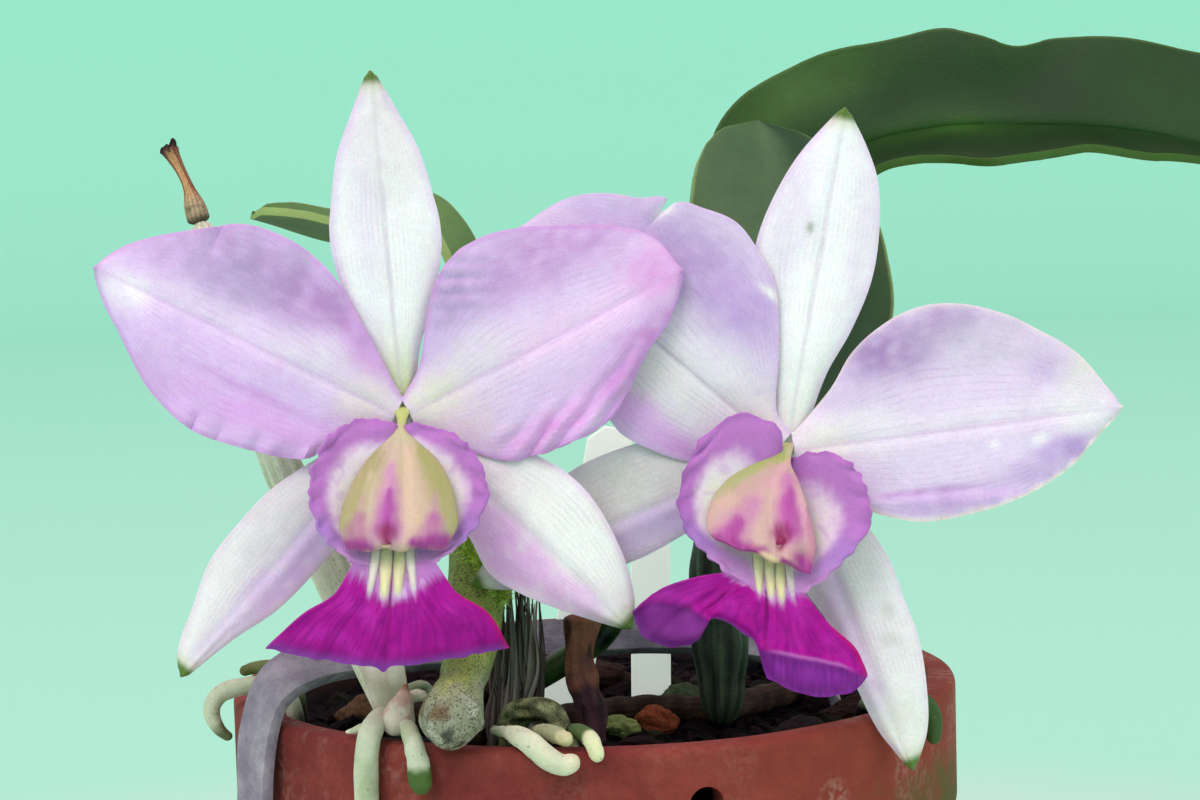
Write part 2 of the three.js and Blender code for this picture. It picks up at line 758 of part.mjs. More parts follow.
// The lip: side lobes that cup round the column, a waist, and a spreading fan.
function lip({ top, leftLobe, rightLobe, waist, leftFan, rightFan, hem }) {
  const lobes = patch(smooth(top), smooth(waist), smooth(leftLobe), smooth(rightLobe));
  const fan = patch(smooth(waist), smooth(hem), smooth(leftFan), smooth(rightFan));
  const [rows, columns] = [14, 14];
  const surface = (u, v) => {
    if (v > 0.5) return fan(u, 2 * v - 1);
    const p = lobes(u, 2 * v);
    const middle = Math.cos((2 * u - 1) * (Math.PI / 2));
    p.z -= 4.5 * Math.sin(2 * v * Math.PI) * middle ** 0.7; // the cup behind the column
    return p;
  };
  const step = 0.01;
  const facing = (u, v) => {
    const across = surface(Math.min(u + step, 1), v).sub(surface(Math.max(u - step, 0), v));
    const down = surface(u, Math.min(v + step, 1)).sub(surface(u, Math.max(v - step, 0)));
    return down.cross(across).normalize();
  };
  const shape = new THREE.BoxGeometry(1, 1, 1, columns, rows, 1);
  const at = shape.attributes.position;
  for (let i = 0; i < at.count; i++) {
    const [u, v] = [at.getX(i) + 0.5, at.getY(i) + 0.5];
    const p = surface(u, v).addScaledVector(facing(u, v), at.getZ(i) * PETAL_THICKNESS);
    at.setXYZ(i, ...p);
  }
  return solid(shape);
}

// The column: a broad flattened club with its widest part near the tip.
function column({ line, widths, tilt = 0 }) {
  const path = smooth(line);
  const [sides, steps, depth] = [12, 8, 0.24];
  const shape = new THREE.CylinderGeometry(1, 1, 1, sides, steps);
  const at = shape.attributes.position;
  for (let i = 0; i < at.count; i++) {
    const t = at.getY(i) + 0.5;
    const p = path.getPoint(t);
    const width = spread(widths, t);
    const across = at.getX(i) * width;
    const thick = at.getZ(i) * Math.max(width * depth, 1.2);
    at.setXYZ(i, p.x + across * Math.cos(tilt), p.y + across * Math.sin(tilt), p.z + thick);
  }
  return solid(shape);
}

function anther([x, y, z]) {
  const shape = new THREE.SphereGeometry(1, 8, 6);
  shape.scale(2, 1.3, 1.4);
  shape.translate(x, y, z);
  return solid(shape);
}

function flower({ name, centre, yaw, tepals, lip: lipEdges, column: columnLine, anther: cap, pedicel }) {
  const group = new THREE.Group();
  group.position.set(...centre);
  group.rotation.set(radians(FLOWER_LIFT), radians(FLOWER_ROLL), radians(yaw), "ZYX");
  part.add(group);
  const [white, mauve] = [finish("#e6dfea", 0.6), finish("#d0a9df", 0.6)];
  for (const { name: which, angle, sepal, plus, minus, bend } of tepals) {
    const make = tepal({ plus, minus, bend, setback: sepal ? SEPAL_SETBACK : 0 });
    const mesh = add(`${name}_${which}`, make(), sepal ? white : mauve, group);
    mesh.rotation.z = radians(angle);
  }
  add(`${name}_lip`, lip(lipEdges), finish("#a81ca0", 0.5), group);
  add(`${name}_column`, column(columnLine), finish("#e0cfa6", 0.5), group);
  add(`${name}_anther_cap`, anther(cap), finish("#a81f66", 0.5), group);
  const stem = rod(pedicel, [1.6, 1.7, 1.9, 2.4, 2.9, 2.9], { steps: 10 });
  add(`${name}_pedicel`, stem(), finish("#8ea05a"));
}

// ---- Strap and tags ----

function strap() {
  return blade({
    midrib: [
      [-63, -39, 38], [-63, -39.2, 62], [-62.6, -38.8, 86], [-61.6, -38.2, 98], [-58.5, -36.6, 106],
      [-53, -33, 108.8], [-44.5, -28, 109.6], [-33, -23, 109.2], [-21.5, -18, 108.6], [-10, -13, 108.6],
      [10, -6.5, 108], [20, -2, 107], [34, 3, 104], [45, 1, 98], [47, -1, 93.6],
    ],
    plus: [[0, STRAP_WIDTH / 2]],
    minus: [[0, STRAP_WIDTH / 2]],
    plusWay: [
      [0.6, -0.8, 0], [0.6, -0.8, 0], [0.6, -0.8, 0], [0.5, -0.86, 0], [0.4, -0.9, 0], [0.3, -0.95, 0],
      [0.3, -0.95, 0], [0.3, -0.95, 0],
    ],
    minusWay: [
      [-0.6, 0.8, 0], [-0.6, 0.8, 0], [-0.6, 0.8, 0], [-0.5, 0.86, 0], [-0.4, 0.9, 0], [-0.3, 0.95, 0],
      [-0.3, 0.95, 0], [-0.3, 0.95, 0],
    ],
    thick: STRAP_THICKNESS,
    along: 26,
    across: 2,
  });
}

// A flat label with one corner clipped, leaning by the angle lean about its foot.
function tag(width, height, clip) {
  const outline = new THREE.Shape();
  outline.moveTo(-width / 2, 0);
  outline.lineTo(width / 2, 0);
  outline.lineTo(width / 2, height);
  outline.lineTo(-width / 2 + clip, height);
  outline.lineTo(-width / 2, height - clip);
  outline.closePath();
  const shape = new THREE.ExtrudeGeometry(outline, { depth: TAG_THICKNESS, bevelEnabled: false });
  shape.rotateX(Math.PI / 2);
  return shape;
}

// ---- Assembly ----

add("pot", pot(), finish("#94402f", 0.85));
add("growing_medium", medium(), finish("#1e1820", 0.95));
BARK.forEach(([place, size, turn], i) => {
  add(`bark_piece_${i + 1}`, barkPiece(place, size, turn), finish("#4a3228", 0.9));
});

const grown = [];
for (const { name, color, make } of [...PLANT, ...LEAVES]) {
  let made = make();
  for (const neighbour of grown) {
    if (made.intersect(neighbour).volume() > 0) made = made.subtract(neighbour);
  }
  const pieces = made.decompose().sort((a, b) => b.volume() - a.volume());
  add(name, pieces[0], finish(color));
  grown.push(make(GAP));
}

flower(LEFT_FLOWER);
flower(RIGHT_FLOWER);

add("strap", strap()(), finish("#8a8290", 0.8));

const tags = [
  ["plant_tag_front", 8.9, 52, 3, [-6.2, 3, MEDIUM_TOP + 4 * GAP], [0, radians(11), 0]],
  ["plant_tag_back", 7.8, 36, 1, [11, 8, MEDIUM_TOP + GAP], [0, radians(1), 0]],
];
for (const [name, width, height, clip, place, turn] of tags) {
  const mesh = add(name, solid(tag(width, height, clip)), finish("#e6f2de", 0.4));
  mesh.position.set(...place);
  mesh.rotation.set(...turn);
}

export default part;
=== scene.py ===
"""A cattleya orchid in flower, rooted in bark in a terracotta pot. +Z is up, and it faces -Y."""
import math
import random
from bisect import bisect_right
from functools import cache
from math import cos, pi, radians, sin, sqrt

import bmesh
import bpy
from mathutils import Euler, Matrix, Vector, noise
from mathutils.geometry import interpolate_bezier


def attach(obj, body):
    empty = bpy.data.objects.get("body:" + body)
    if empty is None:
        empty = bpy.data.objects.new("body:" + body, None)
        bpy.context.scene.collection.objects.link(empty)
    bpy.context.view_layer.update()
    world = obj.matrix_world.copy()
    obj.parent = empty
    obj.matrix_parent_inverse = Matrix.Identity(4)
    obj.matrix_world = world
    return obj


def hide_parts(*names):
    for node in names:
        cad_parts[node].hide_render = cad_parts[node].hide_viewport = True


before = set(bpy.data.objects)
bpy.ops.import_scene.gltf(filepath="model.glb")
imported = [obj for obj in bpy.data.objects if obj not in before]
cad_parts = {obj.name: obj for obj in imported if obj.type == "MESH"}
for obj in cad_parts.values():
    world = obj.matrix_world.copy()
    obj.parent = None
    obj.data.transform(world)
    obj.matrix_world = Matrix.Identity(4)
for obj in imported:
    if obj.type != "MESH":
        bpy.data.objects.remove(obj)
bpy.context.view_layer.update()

MM = 0.001  # forms are shaped in millimetres, and each is brought to metres when it is finished

# ---- Camera, light and floor ----
# The camera stands a little above the flowers and looks slightly down on them.
# The floor is one round pale sheet that rises far off into a wall, and large soft boxes light it.
CAMERA_PLACE = Vector((2.4, -600, 214))
CAMERA_DIP = 5.71  # degrees below level
CAMERA_ROLL = -1.45
LENS = 93.6
FLOOR_RADIUS = 2300
WALL_CURVE = 700
WALL_TOP = 300
LAMP_COLOUR = (1, 0.85, 0.93)
LAMP_SIZE = 2.2
LAMP_AIM = Vector((0, 0, 0.15))
SKY_COLOUR, SKY_STRENGTH = (1, 0.82, 0.91), 0.85

scene = bpy.context.scene
scene.view_settings.view_transform = "Standard"
lens = bpy.data.cameras.new("camera")
lens.lens = LENS
lens.clip_start = 0.01
camera = bpy.data.objects.new("camera", lens)
camera.matrix_world = (
    Matrix.Translation(CAMERA_PLACE * MM)
    @ Matrix.Rotation(radians(90 - CAMERA_DIP), 4, "X")
    @ Matrix.Rotation(radians(CAMERA_ROLL), 4, "Z")
)
scene.collection.objects.link(camera)
scene.camera = camera


@cache
def rgb(code):
    """A six-digit colour of a paint chart as linear red, green and blue."""
    return tuple((int(code[i : i + 2], 16) / 255) ** 2.2 for i in (0, 2, 4))


class Finish:
    """A material put together node by node. Sizes are in millimetres, and colours are codes."""

    def __init__(self, name, sockets):
        self.material = bpy.data.materials.new(name)
        self.material.use_nodes = True
        self.tree = self.material.node_tree
        self.shader = self.tree.nodes["Principled BSDF"]
        self.normal = None
        for socket, value in sockets.items():
            self.shader.inputs[socket].default_value = value

    def node(self, kind, inputs=(), out=0, **settings):
        made = self.tree.nodes.new("ShaderNode" + kind)
        for name, value in settings.items():
            setattr(made, name, value)
        for socket, value in dict(inputs).items():
            if isinstance(value, bpy.types.NodeSocket):
                self.tree.links.new(value, made.inputs[socket])
            elif made.inputs[socket].type == "RGBA":
                made.inputs[socket].default_value = (*rgb(value), 1)
            else:
                made.inputs[socket].default_value = value
        return made.outputs[out]

    def place(self, size, stretch=(1, 1, 1)):
        """The piece's own coordinates, counted in lumps of this size."""
        scale = [s / (size * MM) for s in stretch]
        return self.node("Mapping", {"Vector": self.node("TexCoord", out="Object"), "Scale": scale})

    def grain(self, size, detail=2, stretch=(1, 1, 1)):
        """Soft noise from 0 to 1, in lumps of this size."""
        spot = self.place(size, stretch)
        return self.node("TexNoise", {"Vector": spot, "Scale": 1, "Detail": detail}, out="Fac")

    def specks(self, size, share):
        """Separate dots: 1 in the share of each cell nearest its middle, and 0 outside."""
        inputs = {"Vector": self.place(size), "Scale": 1}
        near = self.node("TexVoronoi", inputs, out="Distance")
        return self.ramp(near, (share * 0.7, 1), (share, 0))

    def ramp(self, value, *stops):
        """Values or colours read from the stops, (place, value), at this value."""
        made = self.tree.nodes.new("ShaderNodeValToRGB")
        self.tree.links.new(value, made.inputs[0])
        for i, (place, level) in enumerate(stops):
            element = made.color_ramp.elements[i] if i < 2 else made.color_ramp.elements.new(place)
            element.position = place
            element.color = (*(rgb(level) if isinstance(level, str) else (level,) * 3), 1)
        return made.outputs[0]

    def mix(self, amount, under, over, how="MIX"):
        inputs = {0: amount, 6: under, 7: over}
        return self.node("Mix", inputs, out=2, data_type="RGBA", blend_type=how)

    def math(self, operation, a, b=0.0):
        return self.node("Math", {0: a, 1: b}, operation=operation)

    def times(self, a, b):
        return self.math("MULTIPLY", a, b)

    def tint(self):
        """The colour that the form itself carries from point to point."""
        return self.node("Attribute", out="Color", attribute_name="tint")

    def mottle(self, colour, size, amount, detail=3):
        """The colour made lighter and darker in lumps of this size."""
        level = self.ramp(self.grain(size, detail), (0.25, 1 - amount), (0.75, 1 + amount))
        return self.mix(1.0, colour, level, "MULTIPLY")

    def colour(self, colour):
        self.tree.links.new(colour, self.shader.inputs["Base Color"])

    def relief(self, height, depth):
        """Adds a relief this deep to the surface."""
        inputs = {"Height": height, "Distance": depth * MM, "Strength": 1}
        if self.normal:
            inputs["Normal"] = self.normal
        self.normal = self.node("Bump", inputs, out="Normal")
        self.tree.links.new(self.normal, self.shader.inputs["Normal"])


def sheet(shape, columns, rows, tint=None):
    """A grid whose point at (u, v), each from 0 to 1, is moved to shape(u, v).
    Its UV map holds (u, v), and tint(u, v, place) colours it from point to point."""
    form = bmesh.new()
    form.loops.layers.uv.new("UVMap")
    bmesh.ops.create_grid(form, x_segments=columns, y_segments=rows, size=0.5, calc_uvs=True)
    shade = form.verts.layers.float_color.new("tint")
    for point in form.verts:
        u, v = point.co.x + 0.5, point.co.y + 0.5
        point.co = shape(u, v)
        if tint:
            point[shade] = (*tint(u, v, point.co), 1)
    bmesh.ops.remove_doubles(form, verts=form.verts, dist=0.002)
    return form


def put(name, form, finish):
    """The form as an object in metres, with its finish."""
    bmesh.ops.scale(form, vec=(MM, MM, MM), verts=form.verts)
    mesh = bpy.data.meshes.new(name)
    form.to_mesh(mesh)
    form.free()
    mesh.materials.append(finish.material)
    mesh.shade_smooth()
    made = bpy.data.objects.new(name, mesh)
    scene.collection.objects.link(made)
    return made


def floor_shape(u, v):
    """The floor, the curve at its far edge and the wall above it, by angle and by distance."""
    turn = 2 * pi * u
    run = v * (FLOOR_RADIUS + WALL_CURVE * pi / 2 + WALL_TOP)
    bend = min(max(run - FLOOR_RADIUS, 0) / WALL_CURVE, pi / 2)
    radius = min(run, FLOOR_RADIUS) + WALL_CURVE * sin(bend)
    height = WALL_CURVE * (1 - cos(bend)) + max(run - FLOOR_RADIUS - WALL_CURVE * pi / 2, 0)
    return Vector((radius * cos(turn), radius * sin(turn), height - 0.1))


def soft_box(name, place, power):
    """A large square lamp that is turned to the plant."""
    lamp = bpy.data.lights.new(name, "AREA")
    lamp.color = LAMP_COLOUR
    lamp.energy = power
    lamp.size = LAMP_SIZE
    made = bpy.data.objects.new(name, lamp)
    made.location = place
    made.rotation_euler = (LAMP_AIM - Vector(place)).to_track_quat("-Z", "Y").to_euler()
    scene.collection.objects.link(made)


floor_paint = Finish("floor_paint", {"Roughness": 0.95, "Specular IOR Level": 0.1})
away = floor_paint.node("VectorMath", {0: floor_paint.place(1000)}, out=1, operation="LENGTH")
floor_paint.colour(floor_paint.ramp(
    floor_paint.math("DIVIDE", away, 4), (0.05, "DDE6DF"), (0.1, "AAEECF"), (0.6, "A3F0D2")))
put("floor", sheet(floor_shape, columns=96, rows=60), floor_paint)
soft_box("key_light", (-1.5, -2.4, 3.0), power=74)
soft_box("fill_light", (2.4, -1.9, 1.5), power=24)
scene.world = bpy.data.worlds.new("studio")
scene.world.use_nodes = True
sky = scene.world.node_tree.nodes["Background"].inputs
sky["Color"].default_value = (*SKY_COLOUR, 1)
sky["Strength"].default_value = SKY_STRENGTH

# ---- Pot ----
# A low orchid pot of fired red clay with a deep collar, three drain holes in its floor and three
# holes under the rim for a hanger. Lime has dried on it in pale stains, and algae green one side.
POT_HEIGHT, RIM_RADIUS, COLLAR_HEIGHT, COLLAR_STEP = 100, 70, 26, 3.5
BASE_RADIUS, WALL, FLOOR = 48, 6, 7
DRAIN_RADIUS, DRAIN_CIRCLE, DRAIN_ANGLE = 4.5, 24, 30
HANGING_HOLE_RADIUS, HANGING_HOLE_DROP, HANGING_HOLE_ANGLE = 3.2, 10.5, -74


def done(made, slot, *nodes):
    """Lets the piece ride with the plant and stand for its solids."""
    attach(made, "root")
    if nodes:
        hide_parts(*nodes)
    return made


def rounded(corners):
    """Points along the corners, (radius, height, rounding), with each corner rounded off."""
    line = [Vector((corners[0][0], 0, corners[0][1]))]
    for before, (r, z, size), after in zip(corners, corners[1:], corners[2:]):
        corner = Vector((r, 0, z))
        start = corner + (Vector((before[0], 0, before[1])) - corner).normalized() * size
        end = corner + (Vector((after[0], 0, after[1])) - corner).normalized() * size
        line += interpolate_bezier(start, start.lerp(corner, 0.6), end.lerp(corner, 0.6), end, 5)
    return [*line, Vector((corners[-1][0], 0, corners[-1][1]))]


def spun(line, steps):
    """A round form: the line turned about the Z axis."""
    form = bmesh.new()
    points = [form.verts.new(p) for p in line]
    edges = [form.edges.new(pair) for pair in zip(points, points[1:])]
    bmesh.ops.spin(
        form, geom=points + edges, axis=(0, 0, 1), cent=(0, 0, 0), dvec=(0, 0, 0),
        angle=2 * pi, steps=steps, use_merge=True, use_duplicate=False,
    )
    bmesh.ops.remove_doubles(form, verts=form.verts, dist=0.01)
    bmesh.ops.recalc_face_normals(form, faces=form.faces)
    return form


clay = Finish("fired_clay", {"Roughness": 0.82, "Specular IOR Level": 0.25})
side = clay.node("SeparateXYZ", {0: clay.place(RIM_RADIUS)}, out=0)  # from -1 to 1 across the pot
height = clay.node("SeparateXYZ", {0: clay.place(POT_HEIGHT)}, out=2)  # from 0 to 1 up the pot
body = clay.mix(clay.ramp(clay.grain(16, 4), (0.35, 0), (0.65, 1)), "702E2B", "883F37")
body = clay.mottle(clay.mottle(body, 3, 0.16), 0.5, 0.14)
# Painted light: the pot's right side is painted lighter and more orange.
body = clay.mix(clay.times(clay.ramp(side, (0, 0), (0.8, 1)), 0.5), body, "95432F")
lime = clay.times(clay.ramp(clay.grain(9, 4, (1, 1, 0.6)), (0.5, 0), (0.64, 0.5)),
                  clay.ramp(clay.grain(1.2, 3), (0.42, 0), (0.6, 1)))
lime = clay.times(lime, clay.ramp(clay.math("ABSOLUTE", side), (0.35, 0.2), (0.6, 1)))
body = clay.mix(lime, body, "A88276")
algae = clay.math("ADD", side, clay.times(clay.grain(7, 4), 0.35))
rough_height = clay.math("ADD", height, clay.times(clay.grain(8, 3), 0.2))
algae = clay.times(clay.ramp(algae, (0.86, 0), (1.02, 1)),
                   clay.ramp(rough_height, (0.3, 0.1), (0.7, 1), (0.9, 1), (1.04, 0)))
algae = clay.times(algae, clay.ramp(clay.grain(2.5, 4), (0.3, 0.6), (0.55, 1)))
body = clay.mix(algae, body, "55572A")
body = clay.mix(clay.ramp(height, (0, 0.6), (0.25, 0)), body, "5A2B24")  # damp at the foot
# Painted shade: the pot's inner wall above the bark is darkened almost to black.
across = clay.node("VectorMath", {0: clay.place(RIM_RADIUS, (1, 1, 0))}, out=1, operation="LENGTH")
inside = clay.times(clay.ramp(across, (0.9, 1), (0.925, 0)), clay.ramp(height, (0.8, 0), (0.84, 1)))
clay.colour(clay.mix(inside, body, "1C1315"))
clay.relief(clay.grain(1.6, 4), 0.25)
clay.relief(clay.grain(4, 2, (0.06, 0.06, 1)), 0.35)

collar_foot = POT_HEIGHT - COLLAR_HEIGHT
wall_radius = RIM_RADIUS - COLLAR_STEP
form = spun(rounded([
    (0, 0, 0), (BASE_RADIUS, 0, 1.6), (wall_radius, collar_foot, 0.6),
    (RIM_RADIUS, collar_foot, 3.2), (RIM_RADIUS, POT_HEIGHT, 1.7),
    (RIM_RADIUS - WALL, POT_HEIGHT, 1.5), (wall_radius - WALL, collar_foot - 2, 3),
    (BASE_RADIUS - WALL, FLOOR, 2), (0, FLOOR, 0),
]), steps=160)
for point in form.verts:
    if point.co.z > 2:  # a thrown wall is never quite even, but the foot stands flat
        point.co *= 1 + 0.0022 * (noise.noise(point.co * 0.04) - 0.4)
pot = put("pot_body", form, clay)
drill = bmesh.new()
for i in range(3):
    drain = (Matrix.Rotation(radians(DRAIN_ANGLE + 120 * i), 4, "Z")
             @ Matrix.Translation((DRAIN_CIRCLE, 0, 0)))
    hanging = (Matrix.Rotation(radians(HANGING_HOLE_ANGLE + 120 * i), 4, "Z")
               @ Matrix.Translation((RIM_RADIUS, 0, POT_HEIGHT - HANGING_HOLE_DROP))
               @ Matrix.Rotation(pi / 2, 4, "Y"))
    for radius, depth, place in ((DRAIN_RADIUS, 40, drain), (HANGING_HOLE_RADIUS, 30, hanging)):
        bmesh.ops.create_cone(drill, cap_ends=True, segments=32, radius1=radius, radius2=radius,
                              depth=depth, matrix=place)
drill = put("drill", drill, clay)
cut = pot.modifiers.new("holes", "BOOLEAN")
cut.object = drill
cut.operation = "DIFFERENCE"
pot.data = bpy.data.meshes.new_from_object(pot.evaluated_get(bpy.context.evaluated_depsgraph_get()))
pot.modifiers.clear()
bpy.data.objects.remove(drill)
form = bmesh.new()
form.from_mesh(pot.data)
for edge in form.edges:
    edge.smooth = edge.calc_face_angle(0) < radians(40)
form.to_mesh(pot.data)
form.free()
done(pot, "terracotta", "pot")

# ---- Bark bed ----
# The pot is filled with damp chopped bark, in which the old roots lie, darkened to near black as
# painted shade.
# Its top is a bed of loose chips, with a few bits of charcoal, clay and moss among them.
MEDIUM_TOP = 92
BED_RADIUS = 62.5
CHIPS = 1300
# Chip colours near black: dark bark, darkened further as painted shade inside the pot.
CHIP_COLOURS = [
    "0E0A10", "120D12", "181014", "0C0A12", "141018", "1C1214", "0F0C10", "221618", "150F12",
    "22120F", "1A1C14", "232616", "2C2828",
]


def smooth_line(points, steps=16):
    """Closely spaced points along a smooth line, with as many of them in each of its stretches."""
    points = [Vector(p) for p in points]
    ends = [2 * points[0] - points[1], *points, 2 * points[-1] - points[-2]]
    line = []
    for before, start, end, after in zip(ends, ends[1:], ends[2:], ends[3:]):
        a, b, c = [sqrt((q - p).length) for p, q in ((before, start), (start, end), (end, after))]
        leave = ((start - before) / a - (end - before) / (a + b) + (end - start) / b) * b
        arrive = ((end - start) / b - (after - start) / (b + c) + (after - end) / c) * b
        line += interpolate_bezier(start, start + leave / 3, end - arrive / 3, end, steps + 1)[:-1]
    return [*line, points[-1]]


def evenly(points, count):
    """Evenly spaced places along a smooth line, its directions there, and its length."""
    line = smooth_line(points)
    run = [0]
    for a, b in zip(line, line[1:]):
        run.append(run[-1] + (b - a).length)
    places = []
    for i in range(count + 1):
        at = run[-1] * i / count
        k = min(bisect_right(run, at) - 1, len(line) - 2)
        places.append(line[k].lerp(line[k + 1], (at - run[k]) / (run[k + 1] - run[k])))
    ways = [(b - a).normalized() for a, b in zip(places, places[1:])]
    ways = [(a + b).normalized() for a, b in zip([ways[0], *ways], [*ways, ways[-1]])]
    return places, ways, run[-1]


def lump(p, size, seed=0):
    """Soft noise about 0, in lumps of this size."""
    return noise.noise(Vector(p) / size + Vector((seed, 3.1 * seed, -seed)))


def rise(a, b, at):
    """0 at a, 1 at b and a smooth step between them."""
    t = min(max((at - a) / (b - a), 0), 1)
    return t * t * (3 - 2 * t)


def blend(under, over, amount):
    """One colour with this much of another laid over it. Each is (r, g, b) or a code."""
    under, over = [rgb(colour) if isinstance(colour, str) else colour for colour in (under, over)]
    return tuple(a + (b - a) * amount for a, b in zip(under, over))


bed_side, _, _ = evenly([(0, 0, MEDIUM_TOP), (BED_RADIUS, 0, MEDIUM_TOP)], count=40)
bed_side += [Vector(p) for p in ((60.3, 0, 78), (59, 0, 70), (41.4, 0, 7.4), (0, 0, 7.4))]


def bed_shape(u, v):
    """The bark's uneven top, its side against the pot's wall and its underside."""
    p = bed_side[round(v * (len(bed_side) - 1))].copy()
    p.rotate(Euler((0, 0, 2 * pi * u)))
    if p.z > MEDIUM_TOP - 1:
        p.z += 1.6 * lump(p, 9) + 0.9 * lump(p, 2.6) - 0.6
    return p


soil = Finish("damp_bark_and_painted_shade", {"Roughness": 0.95, "Specular IOR Level": 0.1})
drier = soil.ramp(soil.grain(5, 4), (0.4, 0), (0.6, 1))
# The bark's dark colours, darkened further as painted shade inside the pot.
soil.colour(soil.mottle(soil.mix(drier, "08060A", "150F12"), 0.8, 0.4))
soil.relief(soil.grain(1.1, 5), 0.8)
form = sheet(bed_shape, columns=120, rows=len(bed_side) - 1)
bmesh.ops.recalc_face_normals(form, faces=form.faces)
done(put("bark_bed", form, soil), "bark", "growing_medium")

chip_bark = Finish("chip_bark", {"Roughness": 0.9, "Specular IOR Level": 0.12})
chip_bark.colour(chip_bark.mottle(chip_bark.tint(), 0.7, 0.4, 4))
chip_bark.relief(chip_bark.grain(0.6, 4), 0.3)


def chunk(form, matrix, colour, rough, seed, faces=2):
    """A broken lump: a ball in this place and shape, pushed in and out."""
    shade = form.verts.layers.float_color["tint"]
    made = bmesh.ops.create_icosphere(form, subdivisions=faces, radius=1)["verts"]
    for point in made:
        p = point.co.copy()
        swollen = 1 + rough * lump(p, 0.9, seed) + 0.4 * rough * lump(p, 0.35, seed)
        point.co = matrix @ (p * swollen)
        point[shade] = (*rgb(colour), 1)


def tinted():
    """An empty form whose points will carry their own colours."""
    form = bmesh.new()
    form.verts.layers.float_color.new("tint")
    return form


draw = random.Random(11)
form = tinted()
for i in range(CHIPS):
    angle, away = draw.uniform(0, 2 * pi), (BED_RADIUS - 1) * sqrt(draw.random())
    size = draw.uniform(0.7, 2.6) if i % 11 else draw.uniform(2.6, 4.6)
    height = MEDIUM_TOP + 0.25 * size - 0.8
    place = Matrix.Translation((away * cos(angle), away * sin(angle), height))
    turn = Euler((draw.uniform(-0.6, 0.6), draw.uniform(-0.6, 0.6), draw.uniform(0, 6.3)))
    flat = Matrix.Diagonal((size, size * draw.uniform(0.4, 0.8), size * draw.uniform(0.25, 0.5), 1))
    matrix = place @ turn.to_matrix().to_4x4() @ flat
    chunk(form, matrix, draw.choice(CHIP_COLOURS), rough=0.55, seed=i * 0.37)
chips = put("bark_chips", form, chip_bark)
chips.data.shade_flat()
done(chips, "bark")

# ---- Loose pieces on the bed ----
# Larger broken bits lie on the chips: burnt clay, mossy bark, pumice and dark bark.
# Each rests where it was dropped when the plant was last potted.
LOOSE_PIECES = [  # each with its place, its half sizes, its turn in degrees and its colour
    ((11.7, -17.4), (3.7, 3, 2.8), 20, "8A4A33"),
    ((4.6, -19), (3.7, 2.6, 2.1), 15, "8C9A5E"),
    ((17.2, 3), (4.2, 3.6, 3), 40, "4E5E44"),
    ((38, -32), (6, 4.5, 2.6), 70, "241A1C"),
    ((50, -10), (6.5, 4.4, 2.4), 15, "2E201C"),
    ((28, -46), (5, 3.6, 2.2), -30, "3A2A1E"),
    ((-45.6, -6), (4.6, 3.8, 3.2), 55, "5A4632"),
    ((0, 30), (7, 5, 3), 10, "33231E"),
    ((-26, 22), (6.5, 4.6, 2.8), 80, "2C1F1D"),
]
for i, ((x, y), size, turn, colour) in enumerate(LOOSE_PIECES, 1):
    form = tinted()
    place = Matrix.Translation((x, y, MEDIUM_TOP + 0.85 * size[2]))
    matrix = place @ Matrix.Rotation(radians(turn), 4, "Z") @ Matrix.Diagonal((*size, 1))
    chunk(form, matrix, colour, rough=0.4, seed=i, faces=5)
    done(put(f"bark_piece_{i}_rough", form, chip_bark), "bark", f"bark_piece_{i}")

# ---- Canes ----
# The pseudobulbs are the plant's swollen upright stems. The youngest is yellow-green and peppered
# with dark spots, those behind it are dark and ribbed with painted shade in their furrows, and the
# oldest has lost its leaf and dried.


def spread(values, at):
    """A value read smoothly from a list that is spread evenly from 0 to 1."""
    x = min(max(at, 0), 1) * (len(values) - 1)
    i = min(int(x), len(values) - 2)
    t = x - i
    a, b, c, d = [values[min(max(k, 0), len(values) - 1)] for k in range(i - 1, i + 3)]
    bend, twist = (2 * a - 5 * b + 4 * c - d) / 2, (3 * b - a - 3 * c + d) / 2
    return b + t * ((c - a) / 2 + t * (bend + t * twist))


def swell(x, y, z):
    """Soft noise about 0, in lumps of 1."""
    return noise.noise((x, y, z))


STATIONS = 400  # places read along a stem's or blade's middle line


def tube(points, radii, tint, relief=None, around=32, rows=70, cap=1.0, squash=1.0):
    """A round stem with domed ends along a smooth line. Its radius is read from a list spread along
    it, tint(turn, run, place) colours it, and relief(turn, run) swells it."""
    places, ways, length = evenly(points, STATIONS)
    side = ways[0].orthogonal().normalized()
    sides = []
    for before, after in zip([ways[0], *ways], ways):
        side = side.copy()
        side.rotate(before.rotation_difference(after))
        sides.append(side)

    def shape(u, v):
        run = 0.5 - 0.5 * cos(pi * v)
        i = round(run * STATIONS)
        radius = spread(radii, run)
        end = min(run, 1 - run) * length / (cap * radius)
        dome = sqrt(1 - (1 - end) ** 2) if end < 1 else 1
        radius = radius + (relief(2 * pi * u, run) if relief else 0)
        across = sides[i] * cos(2 * pi * u) + ways[i].cross(sides[i]) * sin(2 * pi * u) * squash
        return places[i] + across * radius * dome

    form = sheet(shape, around, rows, lambda u, v, p: tint(u, 0.5 - 0.5 * cos(pi * v), p))
    bmesh.ops.recalc_face_normals(form, faces=form.faces)
    return form


